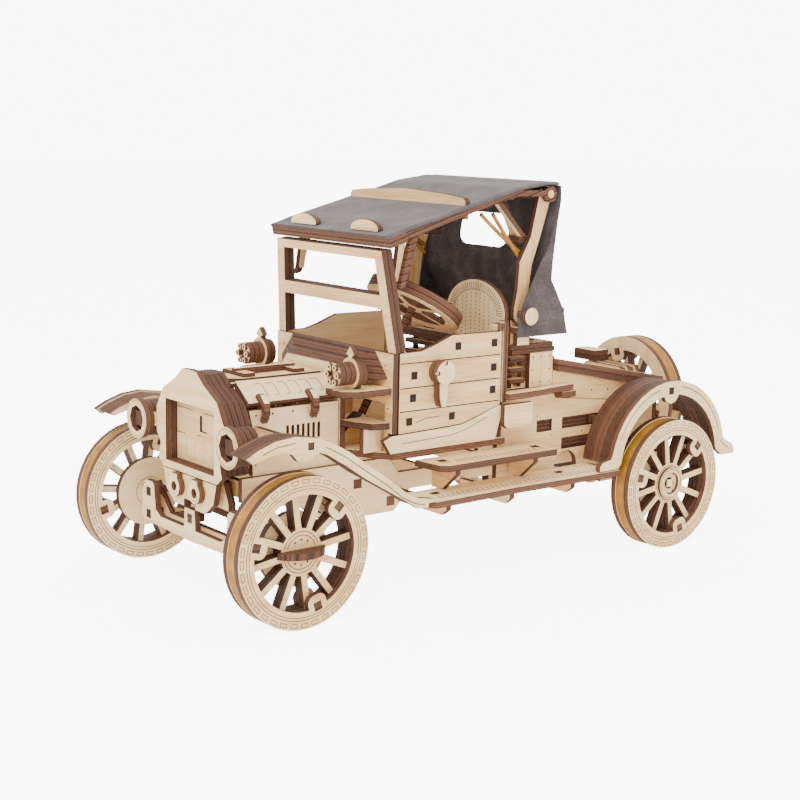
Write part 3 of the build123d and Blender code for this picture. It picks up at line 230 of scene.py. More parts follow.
face_wood = birch_face()
edge_wood = burnt_edge()
scored = burnt_line("laser_scored_line", "#3F2617", "#6A452D")
pierced = burnt_line("laser_pierced_dark", "#24140D", "#3B2216")
rubber = band_rubber()
cloth_finish = canvas()


# ---------------------------------------------------------------- plywood pieces
def islands(mesh):
    """The separate solids of a mesh, each a list of its faces."""
    todo, found = set(mesh.faces), []
    while todo:
        group, front = [], [todo.pop()]
        while front:
            face = front.pop()
            group.append(face)
            for edge in face.edges:
                for other in edge.link_faces:
                    if other in todo:
                        todo.discard(other)
                        front.append(other)
        found.append(group)
    return found


def main_axis(group):
    """The direction that most of a plank's surface faces, and how much of it does."""
    sums = []
    for face in group:
        area = face.calc_area()
        for item in sums:
            if abs(item[0].dot(face.normal)) > 0.985:
                item[1] += area
                break
        else:
            sums.append([face.normal.copy(), area])
    best = max(sums, key=lambda item: item[1])
    return best[0].normalized(), best[1] / sum(item[1] for item in sums)


def tenon_end(face):
    """A small square face is the end grain of a tenon that comes through its plank."""
    if len(face.verts) != 4 or face.calc_area() > 17.5e-6:
        return False
    sides = [edge.calc_length() for edge in face.edges]
    return max(sides) < 1.2 * min(sides) and min(sides) > 0.0025


def in_burnt_zone(node, face):
    """The stars sunk in the headlamps and the bars on the front hubs are scorched all over."""
    centre = face.calc_center_median() / MM
    if node.startswith("wheel_front"):
        return abs(centre.y) > 74.2
    if node != "headlamps" or face.normal.x < 0.9:
        return False
    return centre.x < LAMP_FRONT - 1 and math.hypot(abs(centre.y) - LAMP_Y, centre.z - LAMP_Z) < 6.6


def planked(node, burn=0.00013):
    """A plywood stand-in for a CAD node: broad faces pale with grain, cut edges burnt, thin brown outline."""
    source = frame["nodes"][node]
    mesh = bmesh.new()
    mesh.from_mesh(source.data)
    bmesh.ops.remove_doubles(mesh, verts=mesh.verts, dist=2e-6)
    bmesh.ops.dissolve_limit(mesh, angle_limit=math.radians(0.6), verts=mesh.verts, edges=mesh.edges)
    mesh.normal_update()
    ply_map = mesh.loops.layers.uv.new("ply")
    tone = mesh.loops.layers.float.new("tone")
    dice = Random(node)
    for group in islands(mesh):
        points = [v.co for face in group for v in face.verts]
        normal, share = main_axis(group)
        spans = [max(p[i] for p in points) - min(p[i] for p in points) for i in range(3)]
        tiny = max(spans) < 0.0062
        along = max((Vector((1, 0, 0)), Vector((0, 1, 0)), Vector((0, 0, 1))),
                    key=lambda a: spans[[i for i in range(3) if a[i]][0]] * (1 - abs(normal.dot(a))))
        along = (along - normal * along.dot(normal)).normalized()
        across = normal.cross(along)
        low = min(p.dot(normal) for p in points)
        shift = Vector((dice.uniform(0, 1), dice.uniform(0, 1)))
        shade = dice.uniform(-0.5, 0.5)
        for face in group:
            broad = abs(face.normal.dot(normal)) > 0.97 and not tiny
            if broad and (tenon_end(face) or in_burnt_zone(node, face)):
                broad = False
            face.material_index = 0 if broad else 1
            run = face.normal.cross(normal)
            run = run.normalized() if run.length > 0.1 else along
            for loop in face.loops:
                co = loop.vert.co
                if broad:
                    loop[ply_map].uv = (co.dot(along) + shift.x, co.dot(across) + shift.y)
                elif tiny:
                    loop[ply_map].uv = (co.dot(across), co.dot(along))
                else:
                    loop[ply_map].uv = (co.dot(run) + shift.x, co.dot(normal) - low)
                loop[tone] = shade
    made = bpy.data.meshes.new(node + "_ply")
    mesh.to_mesh(made)
    mesh.free()
    piece = bpy.data.objects.new(node + "_ply", made)
    bpy.context.scene.collection.objects.link(piece)
    made.materials.append(face_wood)
    made.materials.append(edge_wood)
    rim = piece.modifiers.new("burnt_rim", "BEVEL")
    rim.width = burn
    rim.segments = 1
    rim.limit_method = "ANGLE"
    rim.angle_limit = math.radians(50)
    rim.material = 1
    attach(piece, source["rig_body"])
    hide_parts(node)
    return piece


soft_nodes = ("cloth_top", "cloth_back", "roof_bands")
for node in sorted(frame["nodes"]):
    if node in soft_nodes:
        continue
    if node.startswith("tyre_band"):
        for place in frame["nodes"][node].material_slots:
            place.material = rubber
        continue
    planked(node)


# ---------------------------------------------------------------- scored lines
def primitive(make, **settings):
    """A new primitive with nothing else selected."""
    bpy.ops.object.select_all(action="DESELECT")
    make(**settings)
    return bpy.context.object


def surface_of(node):
    """A search tree over a CAD node's faces, so that a line is scored only where there is wood."""
    mesh = frame["nodes"][node].data
    mesh.calc_loop_triangles()
    return BVHTree.FromPolygons([v.co for v in mesh.vertices], [t.vertices for t in mesh.loop_triangles])


stroke = primitive(bpy.ops.mesh.primitive_cylinder_add, vertices=10, radius=0.5, depth=1)
bpy.ops.object.mode_set(mode="EDIT")
bpy.ops.mesh.select_all(action="SELECT")
bpy.ops.mesh.bevel(offset=0.18, segments=1, affect="EDGES")
bpy.ops.object.mode_set(mode="OBJECT")
stroke_points = [v.co.copy() for v in stroke.data.vertices]
stroke_faces = [tuple(p.vertices) for p in stroke.data.polygons]
bpy.data.objects.remove(stroke)
trees = {}


class Laser:
    """Scores one body's pieces. Strokes are gathered and then made one piece that rides on the body."""

    def __init__(self, name, body, material, proud=0.05):
        self.name, self.body, self.material, self.proud = name, body, material, proud
        self.points, self.faces = [], []

    def land(self, node, point, normal, reach=1.5):
        """Where the beam meets the wood near a point, or None."""
        if node not in trees:
            trees[node] = surface_of(node)
        hit, facing, _, _ = trees[node].ray_cast(point + normal * reach * MM, -normal, 2 * reach * MM)
        return hit if hit is not None and facing.dot(normal) > 0.9 else None

    def burn(self, start, end, normal, width):
        """One stroke with round ends."""
        x = (end - start).normalized() if (end - start).length > 1e-7 else normal.orthogonal().normalized()
        y = normal.cross(x)
        middle, half = (start + end) / 2, (end - start).length / 2
        first = len(self.points)
        for p in stroke_points:
            slide = half if p.x > 0.01 else -half if p.x < -0.01 else 0
            self.points.append(middle + x * (p.x * width * MM + slide) + y * p.y * width * MM
                               + normal * p.z * 2 * self.proud * MM)
        self.faces.extend(tuple(first + i for i in face) for face in stroke_faces)

    def line(self, node, start, end, normal, width=0.45):
        """A straight line in millimetres, kept to where the wood is."""
        a, b, n = Vector(start) * MM, Vector(end) * MM, Vector(normal).normalized()
        count = max(2, int((b - a).length / (0.4 * MM)) + 1)
        run = []
        for i in range(count + 1):
            hit = self.land(node, a.lerp(b, i / count), n) if i < count else None
            if hit is not None and (not run or abs((hit - run[-1]).dot(n)) < 0.15 * MM):
                run.append(hit)
                continue
            if len(run) > 1:
                self.burn(run[0], run[-1], n, width)
            run = [hit] if hit is not None else []

    def path(self, node, points, normal, width=0.45, closed=False):
        pairs = list(zip(points, points[1:] + points[:1])) if closed else list(zip(points, points[1:]))
        for a, b in pairs:
            self.line(node, a, b, normal, width)

    def ring(self, node, centre, radius, normal, width=0.4, steps=48, arc=(0, 360)):
        n = Vector(normal).normalized()
        x = n.orthogonal().normalized() if abs(n.z) > 0.9 else Vector((0, 0, 1)).cross(n).normalized()
        y = n.cross(x)
        points = []
        for i in range(steps + 1):
            turn = math.radians(arc[0] + (arc[1] - arc[0]) * i / steps)
            points.append(Vector(centre) + (x * math.cos(turn) + y * math.sin(turn)) * radius)
        for a, b in zip(points, points[1:]):
            hit_a, hit_b = self.land(node, a * MM, n), self.land(node, b * MM, n)
            if hit_a is not None and hit_b is not None:
                self.burn(hit_a, hit_b, n, width)

    def dot(self, node, centre, normal, size=1.0):
        n = Vector(normal).normalized()
        hit = self.land(node, Vector(centre) * MM, n)
        if hit is not None:
            self.burn(hit, hit, n, size)

    def done(self):
        if not self.faces:
            return
        mesh = bpy.data.meshes.new(self.name)
        mesh.from_pydata(self.points, [], self.faces)
        mesh.materials.append(self.material)
        piece = bpy.data.objects.new(self.name, mesh)
        bpy.context.scene.collection.objects.link(piece)
        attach(piece, self.body)


def wheel_marks(name, body, node, x, side, face_y, out=1):
    """Tread blocks, rim circles and hub marks on a wheel's outer face, or on its inner one with out=-1."""
    laser = Laser(name, body, scored)
    n = (0, side * out, 0)

    def at(radius, angle):
        return (x + radius * math.cos(math.radians(angle)), face_y * side,
                AXLE_HEIGHT + radius * math.sin(math.radians(angle)))

    for i in range(36):
        laser.path(node, [at(31.3, i * 10 - 3.2), at(31.3, i * 10 + 3.2), at(32.9, i * 10 + 3.2),
                          at(32.9, i * 10 - 3.2)], n, 0.34, closed=True)
    laser.ring(node, (x, face_y * side, AXLE_HEIGHT), 29.8, n, 0.34, 72)
    laser.ring(node, (x, face_y * side, AXLE_HEIGHT), 28.5, n, 0.34, 72)
    hub_y = (face_y - 3) * side
    laser.ring(node, (x, hub_y, AXLE_HEIGHT), 9.2, n, 0.4, 40)
    laser.ring(node, (x, hub_y, AXLE_HEIGHT), 7.6, n, 0.4, 40)
    for angle in (55, 90, 125, 235, 270, 305):
        laser.dot(node, (x + 5.6 * math.cos(math.radians(angle)), hub_y,
                         AXLE_HEIGHT + 5.6 * math.sin(math.radians(angle))), n, 1.1)
    for angle in (45, 135, 225, 315):
        laser.dot(node, at(5.6, angle), n, 0.7)
    laser.ring(node, (x, face_y * side, AXLE_HEIGHT), 7.2, n, 0.3, 36)
    laser.done()


def side_marks(side, word):
    """Scored lines on the left or right half of the body."""
    n = (0, side, 0)
    y = 48 * side
    door = Laser(f"door_{word}_scored_lines", f"{word}_door", pierced)
    for z in (107.0, 95.3, 84.3):
        door.line(f"door_{word}", (-5.5, y, z), (56.2, y, z), n, 0.6)
    door.path(f"door_{word}", [(46, y, 78.6), (40, y, 80.0), (31, y, 80.2)], n, 0.4)
    door.done()
    trim = Laser(f"body_{word}_scored_lines", "chassis", scored)
    trim.path("body_frame", [(54, y, 69.2), (24, y, 70.2), (14, y, 72.2), (1.5, y, 76.8)], n, 0.45)
    for x in (90, 101, 112, 121):
        trim.dot("hood_frame", (x, 26 * side, 86), n, 1.2)
    for x, z in ((121, 63), (78, 63), (121, 70)):
        trim.dot("hood_frame", (x, 26 * side, z), n, 1.0)
    for x in (-112, -100, -88, -76, -64, -52):
        trim.dot("bed_sides", (x, 42 * side, 83.5 - (x + 52) * -0.06), n, 1.1)
    trim.path("bed_sides", [(-50, 42 * side, 80.5), (-92, 42 * side, 75.5), (-122, 42 * side, 72)], n, 0.4)
    for x, z in ((-13, 60), (-13, 72), (-38, 72), (-48, 61), (-70, 61)):
        trim.dot("bed_sides", (x, 42 * side, z), n, 1.0)
    for x, z in ((-45, 102.5), (-33.5, 102.5), (-45, 96), (-33.5, 96), (-45, 89.5), (-33.5, 89.5), (-39, 102.5),
                 (-39, 89.5)):
        trim.dot("trunk", (x, 42 * side, z), n, 1.0)
    for x, z in ((60, 106), (60, 96), (60, 86)):
        trim.dot("dashboard", (60.25, (44.5 if z < 100 else 42) * side, z), (1, 0, 0), 1.1)
    trim.done()


def louvre_marks(side, word):
    """Six louvres on a slanted hood panel, each a line bent at both ends."""
    n = Vector((0, 0.592 * side, 0.806))
    down = Vector((0, 0.806 * side, -0.592))
    laser = Laser(f"hood_{word}_louvres", f"{word}_hood", scored)
    for i in range(6):
        x = 81.5 + 6.2 * i
        top = Vector((x, 14.7 * side, 100.1)) + down * 2.6
        low = top + down * 8.0
        laser.path(f"hood_panel_{word}", [top + Vector((4.0, 0, 0)), top + Vector((0.9, 0, 0)), top + down * 1.0,
                                         low - down * 1.0, low + Vector((0.9, 0, 0)), low + Vector((2.4, 0, 0))],
                   n, 0.42)
    laser.done()


def board_marks(side, word):
    """A row of slanted double strokes on the running board and on the step above it."""
    laser = Laser(f"running_board_{word}_treads", "chassis", scored)
    up = (0, 0, 1)
    for row, z, low, high in ((61.0, 45, -64, 44), (57.5, 60, -22, 30)):
        for i in range(int((high - low) / 3.1) + 1):
            x = low + 3.1 * i
            laser.line(f"running_board_{word}", (x, (row - 2.4) * side, z), (x + 1.6, (row + 2.4) * side, z), up, 0.6)
            laser.line(f"running_board_{word}", (x - 0.2, (row + 2.4) * side, z),
                       (x + 1.6, (row + 2.4) * side, z), up, 0.6)
    for x, row, z in ((-67, 61, 45), (48, 61, 45), (-26, 57.5, 60), (35, 57.5, 60)):
        laser.ring(f"running_board_{word}", (x, row * side, z), 1.3, up, 0.4, 16)
    laser.done()


def edge_line(node, y, side, xs, inset, keep_off):
    """A line that follows the upper edge of a mudguard's side, a set distance inside it."""
    if node not in trees:
        trees[node] = surface_of(node)
    rim = []
    for x in xs:
        for step in range(0, 160):
            z = 96 - step * 0.5
            hit, facing, _, _ = trees[node].ray_cast(Vector((x, y + 1.0 * side, z)) * MM, Vector((0, -side, 0)),
                                                     1.6 * MM)
            if hit is not None and facing.y * side > 0.9:
                miss, wood = z + 0.5, z
                for _ in range(6):
                    middle = (miss + wood) / 2
                    found = trees[node].ray_cast(Vector((x, y + 1.0 * side, middle)) * MM, Vector((0, -side, 0)),
                                                 1.6 * MM)[0]
                    miss, wood = (miss, middle) if found is not None else (middle, wood)
                rim.append(Vector((x, y, wood)))
                break
    line = []
    for before, here, after in zip(rim, rim[1:], rim[2:]):
        slope = (after - before).normalized()
        inward = Vector((slope.z, 0, -slope.x))
        inward = inward if inward.z < 0 else -inward
        spot = here + inward * inset
        clear = math.hypot(spot.x - keep_off[0], spot.z - keep_off[1]) > 7.0
        line.append(spot if clear else None)
    return line


def fender_marks(side, word):
    """A line inside each mudguard's outline, broken at the tenon."""
    laser = Laser(f"mudguard_{word}_lines", "chassis", scored)
    n = (0, side, 0)
    y = 68.7 * side
    for node, xs, inset, off in ((f"fender_front_{word}", [147.5 - 1.5 * i for i in range(63)], 2.9, (120.45, 79.5)),
                                 (f"fender_rear_{word}", [-67.5 - 1.5 * i for i in range(62)], 2.9,
                                  (REAR_AXLE - 1.1, 82.5))):
        line = edge_line(node, y, side, xs, inset, off)
        for a, b in zip(line, line[1:]):
            if a is not None and b is not None and (b - a).length < 4.5:
                laser.line(node, a, b, n, 0.5)
    laser.done()


def seat_marks():
    """Quilting scored on the seat back: a border of short rays round dotted upright channels."""
    laser = Laser("seat_back_quilting", "chassis", scored)
    n = (1, 0, 0)
    centre_y, centre_z, wide, tall, face = 18.6, 124.0, 22.3, 16.5, -14.45
    for i in range(37):
        turn = math.radians(5 * i)
        c, t = math.cos(turn), math.sin(turn)
        laser.line("seat_back", (face, centre_y + wide * 0.76 * c, centre_z + tall * 0.74 * t),
                   (face, centre_y + wide * 0.93 * c, centre_z + tall * 0.93 * t), n, 0.4)
    rim = [(face, centre_y + wide * 0.73 * math.cos(math.radians(6 * i)),
            centre_z + tall * 0.7 * math.sin(math.radians(6 * i))) for i in range(31)]
    laser.path("seat_back", rim, n, 0.4)
    for row in range(-4, 5):
        y = centre_y + row * 3.4
        top = centre_z + tall * 0.66 * math.sqrt(max(0, 1 - (row * 3.4 / (wide * 0.7)) ** 2)) - 1
        for k in range(20):
            z = top - 2.0 * k
            if z > 92:
                laser.line("seat_back", (face, y, z), (face, y, z - 0.8), n, 0.5)
    laser.done()


def grille_marks():
    """Short seams on the radiator core and a circle round each headlamp's rim."""
    laser = Laser("radiator_core_seams", "chassis", scored)
    n = (1, 0, 0)
    for a, b, z in ((-21, -6, 84.6), (2.5, 20, 84.6), (-21, -13, 72.5), (-3, 1, 73.5)):
        laser.line("radiator_front", (134.25, a, z), (134.25, b, z), n, 0.4)
    for y in (-13, -5, 3, 11):
        laser.line("radiator_front", (134.25, y, 61), (134.25, y, 71), n, 0.18)
    for side in (1, -1):
        laser.ring("headlamps", (LAMP_FRONT, LAMP_Y * side, LAMP_Z), 8.6, n, 0.3, 40)
        for i in range(12):
            angle = math.radians(30 * i + 15)
            laser.dot("headlamps", (LAMP_FRONT, LAMP_Y * side + 7.6 * math.cos(angle),
                                    LAMP_Z + 7.6 * math.sin(angle)), n, 0.5)
        laser.ring("front_beam", (143.3, 9 * side, 49.5), 3.6, n, 0.3, 24, (200, 340))
    laser.done()


wheel_marks("wheel_front_left_marks", "front_wheel_left", "wheel_front_left", FRONT_AXLE, 1, 74)
wheel_marks("wheel_front_right_marks", "front_wheel_right", "wheel_front_right", FRONT_AXLE, -1, 74)
wheel_marks("wheel_rear_left_marks", "rear_wheels", "wheel_rear_left", REAR_AXLE, 1, 74)
wheel_marks("wheel_rear_right_marks", "rear_wheels", "wheel_rear_right", REAR_AXLE, -1, 74)
wheel_marks("wheel_front_left_back_marks", "front_wheel_left", "wheel_front_left", FRONT_AXLE, 1, 62, -1)
wheel_marks("wheel_front_right_back_marks", "front_wheel_right", "wheel_front_right", FRONT_AXLE, -1, 62, -1)
wheel_marks("wheel_rear_left_back_marks", "rear_wheels", "wheel_rear_left", REAR_AXLE, 1, 62, -1)
wheel_marks("wheel_rear_right_back_marks", "rear_wheels", "wheel_rear_right", REAR_AXLE, -1, 62, -1)
for side, word in ((1, "left"), (-1, "right")):
    side_marks(side, word)
    louvre_marks(side, word)
    board_marks(side, word)
    fender_marks(side, word)
seat_marks()
grille_marks()


# ---------------------------------------------------------------- stacked slats behind the bed's windows, their dark partly painted shade
def slat(name, low, high, count):
    """Edge-on strips, stacked, that close a window in the bed side, burnt edges whose dark is partly painted shade
    for the opening: one is modelled and the others are copies.
    """
    tall = (high[2] - low[2]) / count
    first = primitive(bpy.ops.mesh.primitive_cube_add, size=1)
    bpy.ops.object.mode_set(mode="EDIT")
    bpy.ops.mesh.select_all(action="SELECT")
    bpy.ops.transform.resize(value=((high[0] - low[0]) * MM, (high[1] - low[1]) * MM, (tall - 0.1) * MM))
    bpy.ops.mesh.bevel(offset=0.0002, segments=2, affect="EDGES")
    bpy.ops.object.mode_set(mode="OBJECT")
    for i in range(count):
        mesh = first.data.copy()
        mesh.transform(Matrix.Translation(Vector(((low[0] + high[0]) / 2, (low[1] + high[1]) / 2,
                                                  low[2] + tall * (i + 0.5))) * MM))
        layer = mesh.uv_layers.get("ply") or mesh.uv_layers.new(name="ply")
        for loop in mesh.loops:
            co = mesh.vertices[loop.vertex_index].co
            layer.data[loop.index].uv = (co.x + co.y, co.z + 0.0011 * i)
        # tone held at -0.1 makes these strips a little darker than the mean: painted shade
        tone = mesh.attributes.new("tone", "FLOAT", "CORNER")
        for item in tone.data:
            item.value = -0.1
        mesh.materials.clear()
        mesh.materials.append(edge_wood)
        piece = bpy.data.objects.new(f"{name}_{i + 1}", mesh)
        bpy.context.scene.collection.objects.link(piece)
        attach(piece, "chassis")
    bpy.data.objects.remove(first)


for side, word in ((1, "left"), (-1, "right")):
    ys = sorted((39.4 * side, 40.9 * side))
    # dark burnt-edge strips set just inside each window opening, partly painted shade for the dark seen through it
    slat(f"bed_{word}_front_shade_slats", (TRUNK_BACK - 0.7, ys[0], 63.8), (TRUNK_BACK + 9.4, ys[1], 69.4), 2)
    slat(f"bed_{word}_upper_shade_slats", (TRUNK_BACK - 33.8, ys[0], 64.0), (TRUNK_BACK - 8.5, ys[1], 69.3), 2)
    slat(f"bed_{word}_lower_shade_slats", (TRUNK_BACK - 33.8, ys[0], 53.2), (TRUNK_BACK - 8.5, ys[1], 58.6), 2)


# ---------------------------------------------------------------- cloth top
def along_line(points, share):
    """A point at a share of the length of a line of (x, z) points."""
    lengths = [math.dist(a, b) for a, b in zip(points, points[1:])]
    left = share * sum(lengths)
    for (a, b), length in zip(zip(points, points[1:]), lengths):
        if left <= length or b == points[-1]:
            t = min(1, left / length)
            return a[0] + (b[0] - a[0]) * t, a[1] + (b[1] - a[1]) * t
        left -= length


def level(points, z):
    """The x of a line of (x, z) points at a height."""
    for (xa, za), (xb, zb) in zip(points, points[1:]):
        if min(za, zb) <= z <= max(za, zb):
            return xa + (xb - xa) * (z - za) / (zb - za)
    return points[0][0] if abs(z - points[0][1]) < abs(z - points[-1][1]) else points[-1][0]


def finish_sheet(piece, flat_uv, thickness):
    """The flat map, a thin wall and smooth shading for a cloth sheet."""
    mesh = piece.data
    layer = mesh.uv_layers.get("cloth") or mesh.uv_layers.new(name="cloth")
    for loop in mesh.loops:
        layer.data[loop.index].uv = flat_uv[loop.vertex_index]
    mesh.uv_layers.active = layer
    for spare in [u.name for u in mesh.uv_layers if u.name != "cloth"]:
        mesh.uv_layers.remove(mesh.uv_layers[spare])
    mesh.materials.clear()
    mesh.materials.append(cloth_finish)
    wall = piece.modifiers.new("thickness", "SOLIDIFY")
    wall.thickness = thickness * MM
    wall.offset = 0
    bpy.ops.object.select_all(action="DESELECT")
    piece.select_set(True)
    bpy.context.view_layer.objects.active = piece
    bpy.ops.object.modifier_apply(modifier="thickness")
    bpy.ops.object.shade_smooth_by_angle(angle=math.radians(50))


TOP_LINE = [(64.85, 165.5), (54.45, 168.6), (17.75, 178.2), (-14.5, 186.6), (-33.5, 189.2), (-41.1, 189.2)]
TOP_HALF = 48.2
BOWS = (64.85, 54.45, 17.75, -14.5, -33.5, -41.1)
roof_cloth = primitive(bpy.ops.mesh.primitive_grid_add, x_subdivisions=90, y_subdivisions=60, size=1)
roof_cloth.name = "roof_cloth"
top_flat = {}
top_length = sum(math.dist(a, b) for a, b in zip(TOP_LINE, TOP_LINE[1:]))
for vert in roof_cloth.data.vertices:
    u, v = vert.co.x + 0.5, vert.co.y * 2
    x, z = along_line(TOP_LINE, u)
    span = next(((a, b) for a, b in zip(BOWS, BOWS[1:]) if b <= x <= a), (x, x))
    part = (x - span[1]) / (span[0] - span[1]) if span[0] != span[1] else 0
    slack = min(1.0, (span[0] - span[1]) / 32) * 0.75 * math.sin(math.pi * part) ** 2 * (1 - v ** 6)
    ripple = 0.12 * math.sin(v * 9 + x * 0.11) * math.sin(math.pi * part)
    hem = 0.9 * max(0, (abs(v) - 0.975) / 0.025) ** 2
    vert.co = Vector((x, v * TOP_HALF, z + 0.42 - slack + ripple - hem)) * MM
    top_flat[vert.index] = (u * top_length * MM, v * TOP_HALF * MM)
finish_sheet(roof_cloth, top_flat, 0.7)
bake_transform(roof_cloth)
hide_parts("cloth_top")

BACK_LINE = [(-41.7, 188.2), (-42.1, 181), (-39.9, 168.8), (-37.9, 152), (-37.3, 142), (-41.1, 135.6),
             (-46.4, 126.3), (-49.5, 114.4)]
FLAP_EDGE = [(-38, 168.8), (-35, 158), (-28.5, 148), (-21, 134), (-16.5, 124), (-16, 114.4)]
BACK_HALF = 48.6
WINDOW = (-4.0, 163.6, 18.5, 8.5, 6.0)
FLAP_COLUMNS, BACK_COLUMNS, BACK_ROWS = 16, 84, 78
back_cloth = primitive(bpy.ops.mesh.primitive_grid_add, x_subdivisions=2 * FLAP_COLUMNS + BACK_COLUMNS,
                       y_subdivisions=BACK_ROWS, size=1)
back_cloth.name = "back_curtain"
back_flat = {}
columns = 2 * FLAP_COLUMNS + BACK_COLUMNS
for vert in back_cloth.data.vertices:
    column = round((vert.co.x + 0.5) * columns)
    z = 188.2 - (vert.co.y + 0.5) * (188.2 - 114.4)
    back = level(BACK_LINE, z)
    flap = max(0.0, level(FLAP_EDGE, z) - back) if z < 168.8 else 0.0
    if column < FLAP_COLUMNS:
        share = 1 - column / FLAP_COLUMNS
        x, y = back + flap * share, -BACK_HALF
        flat_x = -BACK_HALF - flap * share
    elif column > FLAP_COLUMNS + BACK_COLUMNS:
        share = (column - FLAP_COLUMNS - BACK_COLUMNS) / FLAP_COLUMNS
        x, y = back + flap * share, BACK_HALF
        flat_x = BACK_HALF + flap * share
    else:
        y = -BACK_HALF + 2 * BACK_HALF * (column - FLAP_COLUMNS) / BACK_COLUMNS
        x = back
        flat_x = y
        fold = 0.5 * math.sin(y * 0.21) * math.sin(z * 0.09) + 0.25 * math.sin(y * 0.55 + z * 0.05)
        near = min(1.0, (BACK_HALF - abs(y)) / 8)
        hang = math.sin(math.pi * min(1, max(0, (188.2 - z) / 73.8)))
        x += fold * near * hang
    vert.co = Vector((x, y, z)) * MM
    back_flat[vert.index] = (flat_x * MM, z * MM)

bpy.context.view_layer.objects.active = back_cloth
layer = back_cloth.data.attributes.new("flat_place", "FLOAT_VECTOR", "POINT")
for index, (a, b) in back_flat.items():
    layer.data[index].vector = (a, b, 0)
bpy.ops.object.mode_set(mode="EDIT")
bpy.ops.mesh.select_mode(type="FACE")
bpy.ops.object.mode_set(mode="OBJECT")
for polygon in back_cloth.data.polygons:
    c = polygon.center / MM
    dy = max(0.0, abs(c.y - WINDOW[0]) - (WINDOW[2] - WINDOW[4]))
    dz = max(0.0, abs(c.z - WINDOW[1]) - (WINDOW[3] - WINDOW[4]))
    polygon.select = c.x < -30 and math.hypot(dy, dz) < WINDOW[4] and abs(c.y) < 40
bpy.ops.object.mode_set(mode="EDIT")
bpy.ops.mesh.delete(type="FACE")
bpy.ops.mesh.select_all(action="SELECT")
bpy.ops.mesh.remove_doubles(threshold=0.00002)
bpy.ops.mesh.normals_make_consistent(inside=False)
bpy.ops.object.mode_set(mode="OBJECT")
places = [tuple(item.vector) for item in back_cloth.data.attributes["flat_place"].data]
edge_count = {}
for polygon in back_cloth.data.polygons:
    for key in polygon.edge_keys:
        edge_count[key] = edge_count.get(key, 0) + 1
for vert in back_cloth.data.vertices:
    c = vert.co / MM
    inside = abs(c.y - WINDOW[0]) < WINDOW[2] + 2 and abs(c.z - WINDOW[1]) < WINDOW[3] + 2
    if inside and any(count == 1 and vert.index in key for key, count in edge_count.items() if vert.index in key):
        dy, dz = c.y - WINDOW[0], c.z - WINDOW[1]
        cy = max(-(WINDOW[2] - WINDOW[4]), min(WINDOW[2] - WINDOW[4], dy))
        cz = max(-(WINDOW[3] - WINDOW[4]), min(WINDOW[3] - WINDOW[4], dz))
        away = math.hypot(dy - cy, dz - cz) or 1.0
        vert.co.y = (WINDOW[0] + cy + (dy - cy) / away * WINDOW[4]) * MM
        vert.co.z = (WINDOW[1] + cz + (dz - cz) / away * WINDOW[4]) * MM
finish_sheet(back_cloth, {i: (p[0], p[1]) for i, p in enumerate(places)}, 0.7)
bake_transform(back_cloth)
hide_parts("cloth_back")


# ---------------------------------------------------------------- rubber bands of the roof
for side, word in ((1, "left"), (-1, "right")):
    strands = []
    for number, (front_x, rear_z, dip) in enumerate(((5.0, 153.0, 0.9), (-2.5, 149.0, 0.5))):
        strand = primitive(bpy.ops.curve.primitive_bezier_curve_add, radius=0.01)
        ends = strand.data.splines[0].bezier_points
        front = Vector((front_x, 42.8 * side, 174.6)) * MM
        rear = Vector((-27.9, 38.8 * side, rear_z)) * MM
        drop = Vector((0, 0, -dip * MM))
        for point, place in zip(ends, (front, rear)):
            point.handle_left_type = point.handle_right_type = "FREE"
            point.co = place
        ends[0].handle_left, ends[0].handle_right = front, front.lerp(rear, 0.33) + drop
        ends[1].handle_left, ends[1].handle_right = front.lerp(rear, 0.67) + drop, rear
        strand.data.bevel_depth = 0.001
        strand.data.bevel_resolution = 3
        strand.data.resolution_u = 16
        strand.data.use_fill_caps = True
        strand.location = (0, 0, 0)
        bpy.ops.object.convert(target="MESH")
        strands.append(bpy.context.object)
    bpy.ops.object.select_all(action="DESELECT")
    for strand in strands:
        strand.select_set(True)
    bpy.context.view_layer.objects.active = strands[0]
    bpy.ops.object.join()
    band = bpy.context.object
    band.name = f"roof_band_{word}"
    band.data.materials.clear()
    band.data.materials.append(rubber)
    bpy.ops.object.shade_smooth()
    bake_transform(band)
    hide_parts("roof_bands")


# ---------------------------------------------------------------- camera, floor and light
camera = primitive(bpy.ops.object.camera_add, location=(0.48786, 0.59244, 0.21645))
camera.name = "camera"
yaw, pitch, roll = -2.2414, -0.1796, 0.0208
ahead = Vector((math.cos(pitch) * math.cos(yaw), math.cos(pitch) * math.sin(yaw), math.sin(pitch)))
right = ahead.cross(Vector((0, 0, 1))).normalized()
above = right.cross(ahead)
tilted_right = right * math.cos(roll) + above * math.sin(roll)
tilted_up = above * math.cos(roll) - right * math.sin(roll)
camera.rotation_mode = "QUATERNION"
camera.rotation_quaternion = Matrix((tilted_right, tilted_up, -ahead)).transposed().to_quaternion()
camera.data.sensor_width = 36
camera.data.lens = 68.48
camera.data.clip_start = 0.01
camera.data.clip_end = 30
bpy.context.scene.camera = camera

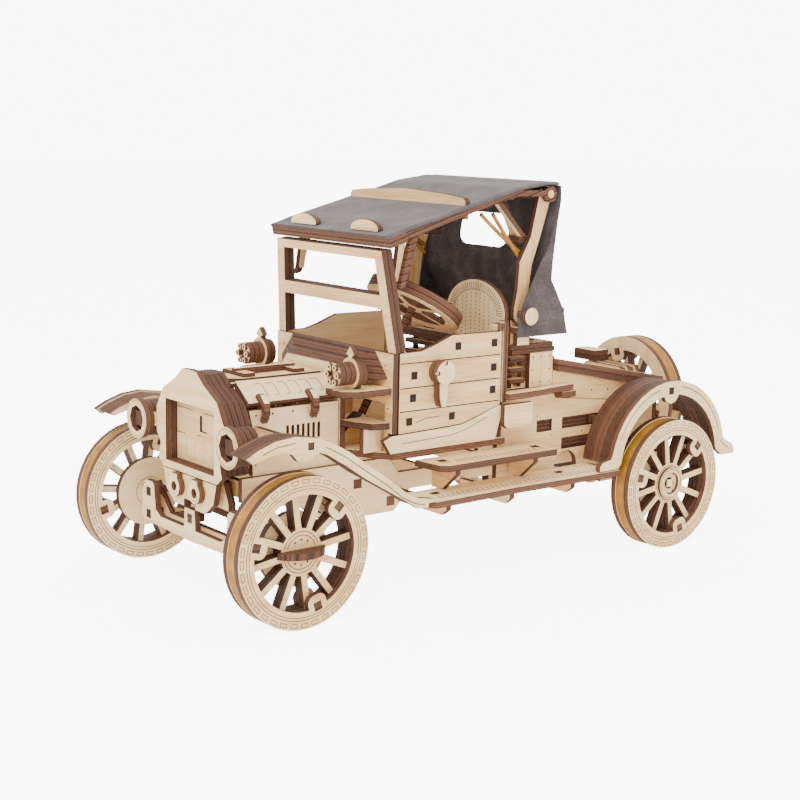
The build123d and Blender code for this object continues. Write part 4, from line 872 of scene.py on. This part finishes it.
stage, stage_tree, stage_output = finish("matt_white_paper")
paper_place = add_node(stage_tree, "ShaderNodeTexCoord").outputs["Object"]
paper_grain = add_node(stage_tree, "ShaderNodeTexNoise", {"Vector": paper_place, "Scale": 40.0})
paper_colour = add_node(stage_tree, "ShaderNodeValToRGB", {"Fac": paper_grain.outputs["Fac"]},
                        stops=[(0.3, "#FBFAF8"), (0.7, "#FEFDFB")])
seen = add_node(stage_tree, "ShaderNodeLightPath").outputs["Is Camera Ray"]
glow = add_node(stage_tree, "ShaderNodeMath", {0: seen, 1: 6.6, 2: 0.5}, operation="MULTIPLY_ADD")
paper = add_node(stage_tree, "ShaderNodeBsdfPrincipled", {"Base Color": paper_colour.outputs["Color"],
                                                         "Roughness": 0.9,
                                                         "Emission Strength": glow.outputs["Value"]})
paper.inputs["Emission Color"].default_value = paint("#FFFFFF")
stage_tree.links.new(paper.outputs["BSDF"], stage_output.inputs["Surface"])
floor = primitive(bpy.ops.mesh.primitive_plane_add, size=12)
floor.name = "studio_floor"
floor.data.materials.append(stage)

world = bpy.data.worlds.new("studio") if not bpy.context.scene.world else bpy.context.scene.world
bpy.context.scene.world = world
world.use_nodes = True
for item in list(world.node_tree.nodes):
    world.node_tree.nodes.remove(item)
looking = add_node(world.node_tree, "ShaderNodeLightPath").outputs["Is Camera Ray"]
open_sky = add_node(world.node_tree, "ShaderNodeMath", {0: looking, 1: 7.6, 2: 1.9}, operation="MULTIPLY_ADD")
sky = add_node(world.node_tree, "ShaderNodeBackground", {"Color": paint("#FFFDF9"),
                                                        "Strength": open_sky.outputs["Value"]})
sky_out = add_node(world.node_tree, "ShaderNodeOutputWorld")
world.node_tree.links.new(sky.outputs["Background"], sky_out.inputs["Surface"])

for name, place, size, power in (("key_light", (0.9, 0.5, 1.3), 0.9, 20), ("fill_light", (0.3, 1.6, 0.9), 1.2, 6),
                                 ("back_light", (-1.0, -0.9, 1.2), 1.0, 5)):
    lamp = primitive(bpy.ops.object.light_add, type="AREA", location=place)
    lamp.name = name
    lamp.data.size = size
    lamp.data.energy = power
    lamp.rotation_mode = "QUATERNION"
    lamp.rotation_quaternion = (Vector((0, 0, 0.06)) - Vector(place)).to_track_quat("-Z", "Y")
